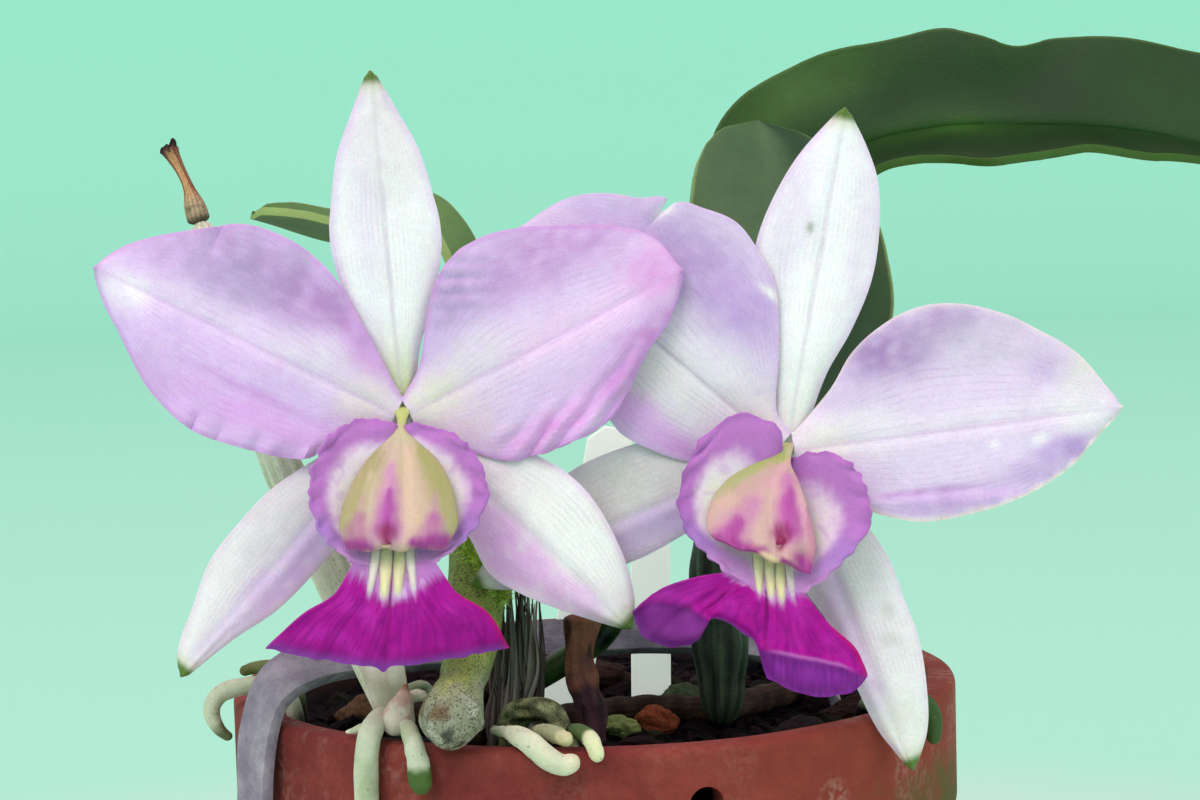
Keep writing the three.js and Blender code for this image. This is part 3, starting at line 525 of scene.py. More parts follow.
def plant_finish(name, roughness, spots=None, lines=None, relief=0.15, fine=0.1, soft=0.0,
                 gloss=0.3):
    """A skin of living or dried plant tissue over the form's own colours. spots are (size, share,
    colour, amount), and lines are (how many round the stem, how dark)."""
    made = Finish(name, {"Roughness": roughness, "Specular IOR Level": gloss})
    if soft:
        made.shader.inputs["Subsurface Weight"].default_value = soft
        made.shader.inputs["Subsurface Scale"].default_value = MM
    colour = made.mottle(made.mottle(made.tint(), 4, 1.3 * fine), 0.6, fine)
    if lines:
        count, dark = lines
        round_it = made.node("SeparateXYZ", {0: made.node("TexCoord", out="UV")}, out=0)
        wander = made.times(made.grain(5, 2), 0.6)
        stripes = made.math("ADD", made.times(round_it, count), wander)
        stripes = made.ramp(made.math("PINGPONG", stripes, 0.5), (0.0, 1 - dark), (0.35, 1))
        colour = made.mix(1.0, colour, stripes, "MULTIPLY")
    if spots:
        size, share, spot_colour, amount = spots
        grouped = made.ramp(made.grain(2.5 * size), (0.38, 0), (0.5, amount))
        dots = made.times(made.specks(size, share), grouped)
        colour = made.mix(dots, colour, spot_colour)
    made.colour(colour)
    made.relief(made.grain(0.5, 3), relief)
    return made


def front_cane_tint(turn, run, p):
    colour = blend("8C9079", "8F9C4C", rise(108, 115, p.z + 3 * lump(p, 3)))
    yellowed = rise(0.2, 0.7, lump(p, 4, 2) + 0.02 * (p.x + 22)) * rise(106, 114, p.z)
    colour = blend(colour, "A3B552", 0.6 * yellowed)
    colour = blend(colour, "B4B6A4", 0.8 * rise(0.0, 0.4, lump(p, 2.5, 8)) * rise(112, 107, p.z))
    off_scar = abs(p.z - 109.5 + 0.5 * (p.x + 27)) / 6 + 0.1 * (p.x + 29)
    colour = blend(colour, "6A4F2E", 0.85 * rise(0.1, 0.4, lump(p, 3.2, 5) + 0.7 - off_scar))
    stain = rise(0.05, 0.3, lump(p, 2, 9) + 0.25 * lump(p, 0.7, 4) - abs(p.z - 102.5) / 9)
    return blend(colour, "1E2019", 0.8 * stain)


def ribbed(pale, dark, count, seed=0):
    """Colours of a ribbed cane: the furrows are painted dark as shade, with uneven tone."""
    def tint(turn, run, p):
        # Painted shade: the colour darkens in the furrows.
        furrow_shade = 0.5 + 0.5 * cos(2 * pi * count * turn + 3 * lump(p, 12, seed))
        return blend(pale, dark, min(1, 0.75 * furrow_shade + 0.5 * abs(lump(p, 4, seed + 1))))
    return tint


def ribs(count, depth, wave=0.2):
    """The relief of a ribbed cane: its furrows, and slow waves."""
    def relief(turn, run):
        waves = wave * swell(9 * run, cos(turn), sin(turn))
        return waves - depth * (0.5 + 0.5 * cos(count * turn))
    return relief


young_skin = plant_finish(
    "young_cane_skin", 0.6, spots=(0.44, 0.48, "34382A", 0.8), relief=0.3, soft=0.05)
cane_skin = plant_finish(
    "cane_skin", 0.45, spots=(1.3, 0.25, "151A10", 0.6), lines=(26, 0.35), relief=0.2)
dry_skin = plant_finish(
    "dry_cane_skin", 0.75, spots=(1.6, 0.2, "6B6248", 0.35), lines=(30, 0.1), relief=0.25)
CANES = [  # each with its skin, its slot, its line, its radii, its colours and its ribs
    ("front_pseudobulb", young_skin, "living_cane",
     [(-25, -68.4, 100.6), (-24.9, -67.4, 105.4), (-23.4, -61, 109.6), (-22, -51, 114.4),
      (-20.9, -39.6, 124), (-20.6, -34.8, 134), (-20.6, -32, 142), (-20.6, -29.6, 146.4),
      (-20.8, -28, 150)],
     [4.4, 5.9, 5.3, 4.3, 4.4, 4.8, 5.1, 5.3, 5.3, 5.2, 4.9, 4.2, 3.1, 1.8, 1],
     front_cane_tint, ribs(7, 0.25, 0.5)),
    ("right_pseudobulb", cane_skin, "living_cane",
     [(24, -17, 93), (24.1, -16, 104), (24.5, -12, 122), (26.9, -4, 138), (28.7, -2.6, 144)],
     [3.4, 4.8, 5.5, 5.8, 5.8, 5, 2.8, 1], ribbed("46543F", "181F19", 9), ribs(9, 0.7, 0.6)),
    ("back_pseudobulb", cane_skin, "living_cane",
     [(42.4, 13, 93), (42.4, 15, 110), (40.9, 17, 134), (39.4, 19, 152), (39.1, 20, 160)],
     [3.2, 4.4, 5.2, 5.6, 5.3, 4.4, 2.4, 1], ribbed("5E7440", "2C3A20", 12, 4), ribs(12, 0.6)),
    ("old_pseudobulb", dry_skin, "dry_cane",
     [(-36.1, -48.5, 101.4), (-40.1, -45, 111), (-47.3, -38, 128), (-56.9, -28, 147),
      (-65.2, -19, 169), (-72, -12, 190.8)],
     [2.4, 3.4, 3.9, 3.8, 3, 2.6, 2.2], ribbed("DEDFC8", "C2C3A4", 9, 7), ribs(9, 0.35)),
]
for name, skin, slot, points, radii, tint, relief in CANES:
    form = tube(points, radii, tint, relief, around=72, rows=110)
    done(put(name + "_skin", form, skin), slot, name)

# ---- Dry stalk, stub and rhizome ----
# A flower stalk of an earlier year stands torn off on the old cane, and a broken cane is left as a
# brown stub. All canes grow from the creeping rhizome, which lies half buried in the bark.


def hump(at, half):
    """1 at the middle of a soft bump, falling to about a third at half."""
    return math.exp(-((at / half) ** 2))


def stalk_tint(turn, run, p):
    colour = blend("B9A884", "C79A6C", rise(0.15, 0.4, run))
    streaks = rise(-0.1, 0.4, sin(6 * pi * turn) * rise(0.2, 0.6, run))
    colour = blend(colour, "7A4A3A", 0.8 * streaks)
    scaly = rise(0.12, 0.0, run) + 0.7 * rise(0.1, 0.5, lump(p, 1.2)) * rise(0.3, 0.1, run)
    colour = blend(colour, "6E6250", scaly)
    return blend(colour, "2E1C20", rise(0.8, 0.97, run))


def stub_tint(turn, run, p):
    colour = blend("4F343C", "8C5846", rise(0.4, 0.7, run + 0.3 * lump(p, 4)))
    return blend(colour, "2A1A1E", 0.8 * rise(0.1, 0.5, lump((p.x * 1.4, p.y * 1.4, p.z * 0.6), 3)))


def stub_relief(turn, run):
    uneven = 0.7 * swell(1.2 * cos(turn), 1.2 * sin(turn), 5 * run)
    return uneven - 0.4 * hump(run - 0.42, 0.05) + 0.15 * sin(9 * turn + 2 * run)


dead_bark = plant_finish("dead_bark", 0.85, lines=(14, 0.35), relief=0.5, fine=0.2)
stub_bark = plant_finish("stub_bark", 0.8, relief=0.4, fine=0.15)
form = tube(
    [(-72.1, -11.9, 190.6), (-74.2, -10, 197.5), (-78.3, -6, 205.2)], [2.2, 2, 1.1, 0.9, 1.2, 1.8],
    stalk_tint, lambda turn, run: 0.25 * sin(3 * turn) * run, rows=50, cap=0.4,
)
for point in form.verts:
    tip = rise(203.2, 205, point.co.z)
    point.co.z += tip * 1.6 * lump(point.co, 0.8)
done(put("dried_flower_stalk_torn", form, dead_bark), "dry_cane", "dried_flower_stalk")
done(put("dry_stub_bark", tube(
    [(-0.2, -35, 92.6), (-0.8, -35, 101), (-2.6, -34, 108), (-2, -33.4, 118)],
    [2.4, 2.7, 3.1, 2.7, 3.4], stub_tint, stub_relief, around=64, rows=100, cap=0.5,
), stub_bark), "dry_cane", "dry_stub")
done(put("rhizome_bark", tube(
    [(-33.1, -50, 103.4), (-28.6, -46, 101), (-21.6, -36, 96.5), (-12.6, -22, 95), (0, -11.5, 95),
     (13, -8.5, 95), (22.4, -11, 95), (35.4, 2, 95), (42.4, 9, 95)],
    [2.3, 2.4, 2.4, 2.4, 2.4, 2.4, 2.2],
    lambda turn, run, p: blend("5A4636", "2E231E", 0.5 + lump(p, 3)),
    lambda turn, run: 0.35 * abs(sin(60 * run)), rows=160,
), dead_bark), "dry_cane", "rhizome")

# ---- Flower stem and flower stalks ----
# One dark glossy stem rises beside the canes and forks into the two stalks that carry the flowers.
# Each stalk widens into the ribbed ovary behind its flower. Its far end is pale, partly as painted
# light in the flower's shade.
stem_skin = plant_finish("stem_skin", 0.35, lines=(9, 0.25), relief=0.1, soft=0.1)
done(put("flower_stem_skin", tube(
    [(-16.4, -27, 97.2), (-13.6, -27, 102.8), (-6, -27.6, 107.8), (1.5, -27.8, 112.6),
     (4.8, -28.2, 118.6), (4.2, -28.8, 126), (2.4, -29, 132)], [2.3, 2.5, 2.5, 2.4, 2.3, 2.1, 2.1],
    lambda turn, run, p: blend("26361F", "4E6B35", 0.5 + lump(p, 5)),
), stem_skin), "flower_stem", "flower_stem")
FLOWER_STALKS = {
    "left_flower": [(2.4, -28.4, 133.6), (-2.6, -32, 138.6), (-10.6, -38.4, 143),
                    (-20.6, -44.4, 149.6), (-28.6, -48.4, 155), (-31.9, -50.6, 156.8),
                    (-32.3, -52.7, 157.1)],
    "right_flower": [(4.8, -27.4, 133.4), (10.4, -28, 138), (20.4, -32, 143.4), (29.4, -38, 147.4),
                     (34.4, -42.6, 148.6), (35.2, -45.8, 148.7)],
}
for flower, points in FLOWER_STALKS.items():
    done(put(flower + "_stalk", tube(
        points, [1.6, 1.7, 1.9, 2.4, 2.9, 2.9],
        # Pale towards the flower: its own pale green, lightened further as painted light in the
        # flower's shade.
        lambda turn, run, p: blend("6F8645", "C6D092", run),
        lambda turn, run: 0.25 * run * cos(6 * turn) * rise(0.95, 0.8, run),
    ), stem_skin), "flower_stem", flower + "_pedicel")

# ---- Roots and bud ----
# Thick roots in a silvery spongy skin climb out of the bark and over the rim. Where a tip still
# grows it is bare and green. A resting bud swells beside them at the foot of the young cane.
ROOTS = [  # each with its skin's and tip's colours, where the tip starts, its line and its radii
    ("root_over_front_rim", "C3CDB0", "AEBB93", 1.1,
     [(-37.6, -50.5, 103.4), (-38.8, -56.4, 103.2), (-39.8, -60.6, 100.8), (-40.4, -60.6, 94),
      (-40.4, -60, 82), (-40, -58.4, 70), (-39.2, -56, 60)], [1.8, 2.1, 2.2, 2.1, 2.1, 2, 1.3]),
    ("root_short_green_tip", "C3CBB0", "48632C", 0.7,
     [(-33.2, -59.4, 103.3), (-32.4, -62.8, 102.9), (-31.4, -65.6, 100.6), (-30.6, -66.2, 96.4),
      (-30.3, -66.2, 92.4)], [1.3, 1.6, 1.8, 2.1, 1.9]),
    ("root_left_loop", "C0C9AB", "5F6B44", 0.9,
     [(-55, -24, 92.6), (-57.6, -22, 101.4), (-61.9, -20, 103.2), (-67.2, -20.4, 103.4),
      (-70.8, -20.8, 102), (-72.2, -21, 99), (-71, -21.2, 95.8),
      (-68.6, -21.2, 93.8)], [1.3, 1.6, 1.75, 1.75, 1.7, 1.5, 0.9]),
    ("root_left_green", "6E7848", "59602F", 0.9,
     [(-55.5, -14, 92.5), (-57, -15, 102.4), (-59.4, -16.5, 106), (-63.5, -17.5, 106.6),
      (-67, -17.8, 105.8)],
     [1.2, 1.3, 1.4, 1.3, 1]),
    ("root_rim_plump", "D2D8B8", "DEDEBC", 0.9,
     [(-18, -57.6, 101.7), (-14.8, -64, 102.4), (-11.3, -70.4, 102), (-8, -72.8, 99.6),
      (-5.4, -73.2, 98.5), (-2.7, -72.8, 99.4)], [0.8, 1.0, 1.7, 2, 2, 1.6]),
    ("root_rim_small", "A7B186", "C7C79A", 0.8,
     [(-10.8, -59, 101.8), (-7.8, -64.4, 102.3), (-5.8, -68, 102.3),
      (-4.2, -70.4, 102)], [0.9, 1.4, 1.5, 1.2]),
    ("root_rim_green", "4F6B3A", "DDE3B4", 0.7,
     [(-4.4, -59, 101.8), (-2.2, -65.2, 102.3), (-0.4, -70.4, 101.8),
      (0.7, -72.4, 98.8)], [1, 1.4, 1.5, 1.3]),
    ("root_right_rim", "A4B08A", "3F5A2C", 0.66,
     [(48, -30, 94), (51, -34.4, 100.8), (55, -38.4, 102.2), (59.8, -39.2, 101.4),
      (61.8, -38.4, 98), (61.9, -38.2, 93)], [1.2, 1.5, 1.6, 1.6, 1.6, 1.3]),
    ("root_behind_bud", "C4CBB2", "B0B695", 0.9,
     [(-35.8, -46, 101), (-34.2, -41, 105.6), (-31.2, -38, 106.2),
      (-28.8, -36, 102)], [0.8, 0.9, 0.9, 0.8]),
    ("root_pale_left_tip", "E6E6CC", "EDEAD2", 0.9,
     [(-37.6, -52.4, 101), (-40.6, -52.6, 101.6), (-44.4, -52.8, 101)], [1, 1, 0.3]),
    ("root_pale_right_tip", "E6E6CC", "EDEAD2", 0.9,
     [(-33.4, -52.4, 106.6), (-31.2, -52.4, 107.2), (-28.6, -52.6, 106.4)], [1.1, 1.1, 0.3]),
]
root_skin = plant_finish(
    "spongy_root_skin", 0.6, spots=(1.8, 0.16, "6E7458", 0.6), relief=0.15, fine=0.07, soft=0.2)


def root_tint(skin, tip, tip_start):
    """Silvery skin, a little green in patches, that gives way to the tip's colour at tip_start.
    Where it comes out of the bark it is painted dark brown, as soil and as painted shade."""
    def tint(turn, run, p):
        colour = blend(skin, "8FA070", 0.5 * rise(0.05, 0.5, lump(p, 5, 3)))
        bare = rise(tip_start - 0.05, tip_start + 0.05, run + 0.06 * lump(p, 2))
        colour = blend(colour, tip, bare)
        # Soil and painted shade: low in the pot, and where it leaves the bark, the root is
        # darkened.
        in_pot = rise(BED_RADIUS + 0.5, BED_RADIUS - 2.5, math.hypot(p.x, p.y))
        soiled = rise(102, 97, p.z) + rise(0.3, 0.12, run) * rise(-20, -17, p.x)
        return blend(colour, "2C2019", in_pot * soiled)
    return tint


for name, skin, tip, tip_start, points, radii in ROOTS:
    form = tube(points, radii, root_tint(skin, tip, tip_start),
                lambda turn, run: 0.16 * swell(14 * run, cos(turn), sin(turn)), rows=90)
    done(put(name + "_skin", form, root_skin), "root", name)


def bud_tint(turn, run, p):
    colour = blend("DAD2BE", "CFA795", 0.8 * rise(0.0, 0.5, lump(p, 2) + run - 0.4))
    return blend(colour, "8E5E4A", rise(0.78, 0.97, run))


def bud_relief(turn, run):
    scale_edge = hump(sin(turn + 5 * run), 0.2)
    return 0.35 * swell(cos(turn), sin(turn), 4 * run) - 0.25 * scale_edge


done(put("resting_bud_scales", tube(
    [(-36.2, -57.2, 101.2), (-34.6, -56, 104.4), (-33.2, -54.4, 109.8)], [2, 2.9, 3, 2.3, 1.3, 0.4],
    bud_tint, bud_relief,
), root_skin), "dry_cane", "resting_bud")

# ---- Sheaths, bract and moss ----
# Thin dry scales wrap the feet of the canes, a green leafy scale lies on the bark, and a tuft of
# moss clings to the young cane, its greens brightened as painted light.


def reach(pairs, s):
    """A half width read smoothly at the distance s from pairs of distance and half width."""
    last = len(pairs) - 1
    i = min(max(bisect_right([at for at, _ in pairs], s) - 1, 0), last - 1)

    def slope(a, b):
        return (pairs[b][1] - pairs[a][1]) / (pairs[b][0] - pairs[a][0])

    (s0, w0), (s1, w1) = pairs[i], pairs[i + 1]
    h = s1 - s0
    t = min(max((s - s0) / h, 0), 1)
    leave = h * slope(max(i - 1, 0), i + 1)
    arrive = h * slope(i, min(i + 2, last))
    leaving = (w0 * (1 + 2 * t) + leave * t) * (1 - t) ** 2
    return leaving + (w1 * (3 - 2 * t) - arrive * (1 - t)) * t * t


def blade(midrib, plus, minus, plus_ways, minus_ways, tint, relief, columns, rows, tip=1.5):
    """A thin blade along a midrib. plus and minus are pairs of distance and half width on either
    side, and the ways are the directions in which those sides spread. relief(s, edge) lifts the
    face, and tint(s, edge) colours it, at the distance s and at edge, from -1 to 1 across."""
    places, ways, length = evenly(midrib, STATIONS)
    plus_ways = [Vector(w).normalized() for w in (*plus_ways, plus_ways[-1])]
    minus_ways = [Vector(w).normalized() for w in (*minus_ways, minus_ways[-1])]

    def shape(u, v):
        i = round(u * STATIONS)
        s, edge = u * length, 2 * v - 1
        out, back = spread(plus_ways, u).normalized(), spread(minus_ways, u).normalized()
        face = ways[i].cross(out - back).normalized()
        width = reach(plus if edge > 0 else minus, s) * sqrt(min(1, (length - s + 0.02) / tip))
        return places[i] + (out if edge > 0 else back) * abs(edge) * width + face * relief(s, edge)

    return sheet(shape, columns, rows, lambda u, v, p: tint(u * length, 2 * v - 1))


def thicken(made, thickness):
    """A flat blade given its thickness, with its edge rounded."""
    wall = made.modifiers.new("wall", "SOLIDIFY")
    wall.thickness = thickness * MM
    wall.offset = 0
    rim = made.modifiers.new("rounded_edge", "BEVEL")
    rim.width = 0.3 * thickness * MM
    rim.segments = 2
    rim.angle_limit = radians(50)
    return made


SHEATH_THICKNESS = 0.4
membrane = plant_finish("dry_membrane", 0.6, lines=(10, 0.12), relief=0.1, soft=0.3)
film = plant_finish("sheath_film", 0.6, relief=0.1, fine=0.08, soft=0.3)
done(thicken(put("cane_sheath_membrane", blade(
    [(-35.9, -52.6, 103), (-36.8, -52.6, 108), (-37.8, -51, 114.4)],
    [(0, 3.2), (6, 3.8), (12, 4)], [(0, 3), (6, 3.9), (12, 4.3)], [(1, 0.25, 0)], [(-1, 0.25, 0)],
    lambda s, edge: blend("A8A48C", "D6D0C2", 0.5 + 0.9 * swell(s * 0.25, edge * 1.6, 0)),
    lambda s, edge: 0.6 * swell(1.6 * edge, 0.2 * s, 3) + 1.2 * (1 - edge * edge),
    columns=36, rows=36,
), film), SHEATH_THICKNESS), "dry_sheath", "cane_sheath")

FIBRES = 80
FIBRE_COLOURS = ["5A524C", "6A625A", "8A847A", "46403C", "787066", "3C3A34"]
draw = random.Random(5)
form = tinted()
for i in range(FIBRES):
    shift = Vector((draw.uniform(-2.8, 5.2), draw.uniform(-0.8, 0.8), 0))
    top = draw.uniform(0.3, 1)
    points = [Vector(p) + shift + Vector((draw.uniform(-1.6, 1.6), draw.uniform(-0.6, 0.6), 0))
              for p in ((-16, -40, 93), (-16, -38, 100), (-15.8, -36, 108), (-15.4, -31, 128))]
    points[-1] = points[-2].lerp(points[-1], top)
    colour = rgb(draw.choice(FIBRE_COLOURS))
    radii = [draw.uniform(0.35, 1), draw.uniform(0.3, 0.8), 0.12]
    fibre = tube(points, radii, lambda turn, run, p: colour, around=8, rows=18, squash=0.35)
    mesh = bpy.data.meshes.new("fibre")
    fibre.to_mesh(mesh)
    fibre.free()
    form.from_mesh(mesh)
    bpy.data.meshes.remove(mesh)
done(put("papery_sheath_fibres", form, membrane), "dry_sheath", "papery_sheath")


def bract_tint(turn, run, p):
    colour = blend("565C3C", "949C6C", rise(0.0, 0.7, 0.35 + lump((p.x, p.y, 2 * p.z), 3)))
    return blend(colour, "2A2E1C", 0.6 * rise(0.2, 0.5, abs(lump(p, 2.4, 4))))


def bract_relief(turn, run):
    return 1.1 * swell(2.4 * cos(turn), 2.4 * sin(turn), 5 * run)


done(put("lying_bract_skin", tube(
    [(-16, -46, 93.2), (-13.4, -47.6, 102.6), (-8, -50, 103), (-3.4, -52, 94)], [1.6, 3, 2.8, 1.4],
    bract_tint, bract_relief, squash=0.7,
), young_skin), "bract", "lying_bract")

MOSS_HEART = [
    (-24.4, -39.4, 140.4), (-22.6, -41.6, 136), (-19.8, -43, 131.6), (-17.2, -43.8, 127.4),
    (-16.4, -44.6, 123),
]
MOSS_STRANDS = 1600
# Moss greens brightened beyond their own as painted light, where the flowers shade them.
MOSS_PAINTED_LIGHT_COLOURS = ["C0E050", "D4EE68", "A8CC40", "DEF084", "90B434"]
moss_green = Finish(
    "moss_green", {"Roughness": 0.8, "Subsurface Weight": 0.2, "Subsurface Scale": MM})
moss_green.colour(moss_green.mottle(moss_green.tint(), 1.5, 0.3))
draw = random.Random(3)
form = tube(
    MOSS_HEART, [0.9, 2.4, 2.9, 1.8, 0.7], lambda turn, run, p: rgb(MOSS_PAINTED_LIGHT_COLOURS[-1]),
    lambda turn, run: 0.5 * swell(9 * run, 2 * cos(turn), 2 * sin(turn)), squash=0.6,
)
shade = form.verts.layers.float_color["tint"]
roots = [(v.co.copy(), v.normal.copy()) for v in form.verts]
for _ in range(MOSS_STRANDS):
    foot, way = draw.choice(roots)
    way = way + Vector([draw.uniform(-0.7, 0.7) for _ in range(3)]) + Vector((0, -0.1, 0.3))
    way.normalize()
    length = draw.uniform(1, 3.2)
    turn = way.to_track_quat("Z", "Y").to_matrix().to_4x4()
    strand = bmesh.ops.create_cone(
        form, segments=3, radius1=0.13, radius2=0.02, depth=length, cap_ends=True,
        matrix=Matrix.Translation(foot + way * length * 0.4) @ turn,
    )
    colour = rgb(draw.choice(MOSS_PAINTED_LIGHT_COLOURS))
    for point in strand["verts"]:
        point[shade] = (*colour, 1)
done(put("moss_tuft_strands", form, moss_green), "moss", "moss_tuft")

# ---- Leaves ----
# One leathery leaf stands on each living cane, stiff, keeled along its midrib and a little wavy.
# The two on the right rise behind the flowers, and the longest arches out over them.


def leaf_tint(pale, dark, rim, side=0, shade="000000", patches=()):
    """Patchy green that is palest along the midrib, with a thin light rim. One side may take
    painted shade.
    patches are (s, edge, long, wide, colour, amount)."""
    def tint(s, edge):
        colour = blend(dark, pale, 0.35 + 0.5 * swell(s / 22, edge * 1.4, 0.3))
        colour = blend(colour, pale, 0.35 * hump(edge, 0.12))
        # Painted shade: one side of the blade is darkened towards the shade colour.
        colour = blend(colour, shade, 0.85 * rise(0.05, 0.5, edge * side))
        for at_s, at_edge, long, wide, over, amount in patches:
            uneven = 1 + 0.8 * swell(s / 9, edge * 3, 6)
            cover = min(1, amount * uneven) * hump(s - at_s, long) * hump(edge - at_edge, wide)
            colour = blend(colour, over, cover)
        return blend(colour, rim, 0.7 * rise(0.975, 1, abs(edge)) + 0.06 * rise(0.7, 1, abs(edge)))
    return tint


def leaf_relief(wave, length, seed=0):
    """A keel along the midrib, and edges that ripple."""
    def relief(s, edge):
        keel = -0.45 * hump(edge, 0.06) * rise(length, 0.7 * length, s)
        ripple = wave * edge * edge * swell(s / 16, edge * 0.7 + seed, seed)
        return (keel + ripple) * rise(0, 12, s) * rise(length, length - 12, s)
    return relief


LEAF_THICKNESS = 1.6
leaf_skin = plant_finish("leaf_skin", 0.5, relief=0.06, fine=0.06, soft=0.05, gloss=0.22)
LEAVES = [  # each with its midrib, its half widths, the ways they spread, its colours and relief
    ("leaf_left",
     [(-20.6, -30.6, 142.8), (-21.2, -24, 160), (-23.2, -13, 178), (-30.6, -2, 187.6),
      (-45.6, -1, 186.4), (-63.1, -5, 191.6)],
     [(0, 1.6), (14, 8), (34, 13), (52, 12.5), (70, 10.5), (82, 7.5), (88, 4), (90, 0.6)],
     [(0, 1.6), (14, 8), (34, 13), (52, 12), (70, 10.5), (82, 7.5), (88, 4), (90, 0.6)],
     [(-0.3, -0.95, 0.1), (-0.2, -0.95, 0.2), (-0.1, -0.9, 0.3), (0, -0.9, 0.35)],
     [(0.3, 0.95, 0.1), (0.2, 0.95, 0.2), (0.15, 0.9, 0.45), (0, 0.85, 0.5)],
     leaf_tint("6B9250", "486F3E", "98B468"), leaf_relief(1.5, 90)),
    ("leaf_back_right",
     [(27.1, -3.4, 138.8), (31.5, -1, 152), (37, 2, 172), (37.5, 5, 190), (34.6, 8.6, 206.8)],
     [(0, 1.6), (12, 10), (30, 18.5), (46, 18), (57, 16), (64, 12.6), (68.4, 8), (71.5, 1)],
     [(0, 1.6), (12, 11), (30, 22), (46, 21), (57, 18), (64, 14), (68.4, 9), (71.5, 1)],
     [(-0.7, -0.7, 0.2), (-1, -0.2, 0.1), (-1, -0.12, 0.1), (-1, -0.12, 0.1)],
     [(0.7, -0.7, -0.2), (1, -0.2, -0.1), (1, -0.12, -0.1), (1, -0.12, -0.1)],
     leaf_tint("607654", "486242", "8FA766", -1, "2C462E"), leaf_relief(1.5, 70, 2)),
    ("leaf_arching_right",
     [(39.4, 19.2, 152.8), (38.8, 21, 172), (43.4, 21, 190), (54.4, 18, 200.5), (70.4, 14, 204.4),
      (88.4, 9, 204.4), (106.4, 4, 202.8), (128.4, -2, 197), (147.4, -7, 186)],
     [(0, 1.6), (20, 12), (36, 22.5), (50, 22.5), (61, 18.9), (70, 19.5), (77, 17.4), (84, 15.5),
      (91, 18.2), (100, 18.8), (114, 18.4), (130, 17), (146, 10), (155, 1)],
     [(0, 1.6), (20, 10), (40, 16), (60, 18), (70, 17.5), (79, 20.5), (88, 17), (96, 13.5),
      (103, 12.5), (112, 9.5), (125, 7), (146, 5), (155, 1)],
     [(-1, 0.1, 0), (-0.9, 0.2, 0.35), (-0.45, 0.3, 0.85), (0.05, 0.3, 0.95), (0.15, 0.3, 0.93),
      (0.3, 0.3, 0.9), (0.45, 0.3, 0.8)],
     [(0.8, -0.6, 0), (0.6, -0.8, -0.1), (0.15, -0.95, -0.25), (0, -0.95, -0.3), (0, -0.95, -0.3),
      (0, -0.95, -0.3)],
     leaf_tint("284C20", "183614", "4E6E32", -1, "17340F", [
         (46, 0.8, 14, 0.3, "4F7A2E", 0.45), (72, -0.1, 14, 0.3, "3F6A28", 0.4)]),
     leaf_relief(3.2, 155, 5)),
]
for name, midrib, plus, minus, plus_ways, minus_ways, tint, relief in LEAVES:
    form = blade(midrib, plus, minus, plus_ways, minus_ways, tint, relief, columns=140, rows=60)
    done(thicken(put(name + "_blade", form, leaf_skin), LEAF_THICKNESS), "leaf", name)

# ---- Sepals and petals ----
# Each flower has three narrow sepals behind and two broad petals in front, thin, soft and slightly
# sparkling. They are white where they start and flushed with lilac, with fine lengthwise veins.
PETAL_START, SEPAL_START = 0.9, 0.2
TEPAL_THICKNESS = 0.6
SEPAL_SETBACK = 1.9
FLOWER_LIFT, FLOWER_ROLL = 84, 1.45  # degrees raised from lying on its back, and turned clockwise


def placed(centre, yaw):
    """The flower's own frame: its face towards +Z, +X to the right and +Y up."""
    turn = Euler((radians(FLOWER_LIFT), radians(FLOWER_ROLL), radians(yaw))).to_matrix().to_4x4()
    return Matrix.Translation(centre) @ turn


FLOWERS = {
    "left_flower": placed((-32.3, -55, 157.2), 3.6),
    "right_flower": placed((35.3, -48, 148.7), -3.5),
}


def bloom_finish(name, vein, veins, vein_depth, roughness=0.55, gloss=0.25, sheen=0.1):
    """Soft petal tissue: the form's own colours, fine veins along it and a sparkling grain."""
    made = Finish(name, {
        "Roughness": roughness, "Specular IOR Level": gloss, "Subsurface Weight": 0.35,
        "Subsurface Scale": 1.2 * MM, "Sheen Weight": sheen, "Sheen Roughness": 0.4,
    })
    across = made.node("SeparateXYZ", {0: made.node("TexCoord", out="UV")}, out=1)
    wander = made.times(made.grain(9, 2), 1.1)
    line = made.math("PINGPONG", made.math("ADD", made.times(across, veins), wander), 0.5)
    line = made.ramp(line, (0.0, 1), (0.2, 0))
    patchy = made.ramp(made.grain(4, 3), (0.4, 0.0), (0.7, 1))
    line = made.times(line, patchy)
    colour = made.mottle(made.mottle(made.tint(), 5, 0.04), 0.42, 0.07)
    made.colour(made.mix(made.times(line, vein_depth), colour, vein))
    made.relief(made.grain(0.35, 2), 0.06)
    made.relief(made.grain(2.2, 3), 0.12)
    made.relief(line, -0.03)
    return made


petal_skin = bloom_finish("petal_skin", "B98AC4", veins=30, vein_depth=0.3)
sepal_skin = bloom_finish("sepal_skin", "B4A6BC", veins=22, vein_depth=0.26)


def painted(ground, patches, rim, tip=None):
    """Colours of a tepal: a ground with soft patches laid on it, each (s, t, long, wide, colour,
    amount) at a distance s out from the flower's middle and t across. rim is (colour, width, plus,
    minus), and tip is where a green tip ends."""
    def tint(s, t, gap):
        colour = blend(ground, "FFFFFF", 0.12 * swell(s / 1.6, t / 1.1, 3))
        wander = 1.5 * swell(s / 7, t / 7, 1)
        uneven = 1 + 0.5 * swell(s / 2.6, t / 1.8, 8) + 0.3 * swell(s / 6, t / 6, 5)
        for at_s, at_t, long, wide, over, amount in patches:
            shift = wander * min(1, wide / 4)
            away = ((s - at_s + wander) / long) ** 2 + ((t - at_t + shift) / wide) ** 2
            colour = blend(colour, over, min(1, amount * uneven) * math.exp(-away ** 1.4))
        over, width, plus, minus = rim
        near = 1 - rise(0, width * (1 + 0.5 * swell(s / 3, t / 9, 4)), gap)
        colour = blend(colour, over, (plus if t > 0 else minus) * near)
        if tip:
            colour = blend(colour, "C9D3A8", 0.5 * rise(tip - 4.6, tip - 2, s + wander))
            colour = blend(colour, "58782A", rise(tip - 2.6, tip - 0.9, s + 0.5 * wander))
        return colour
    return tint


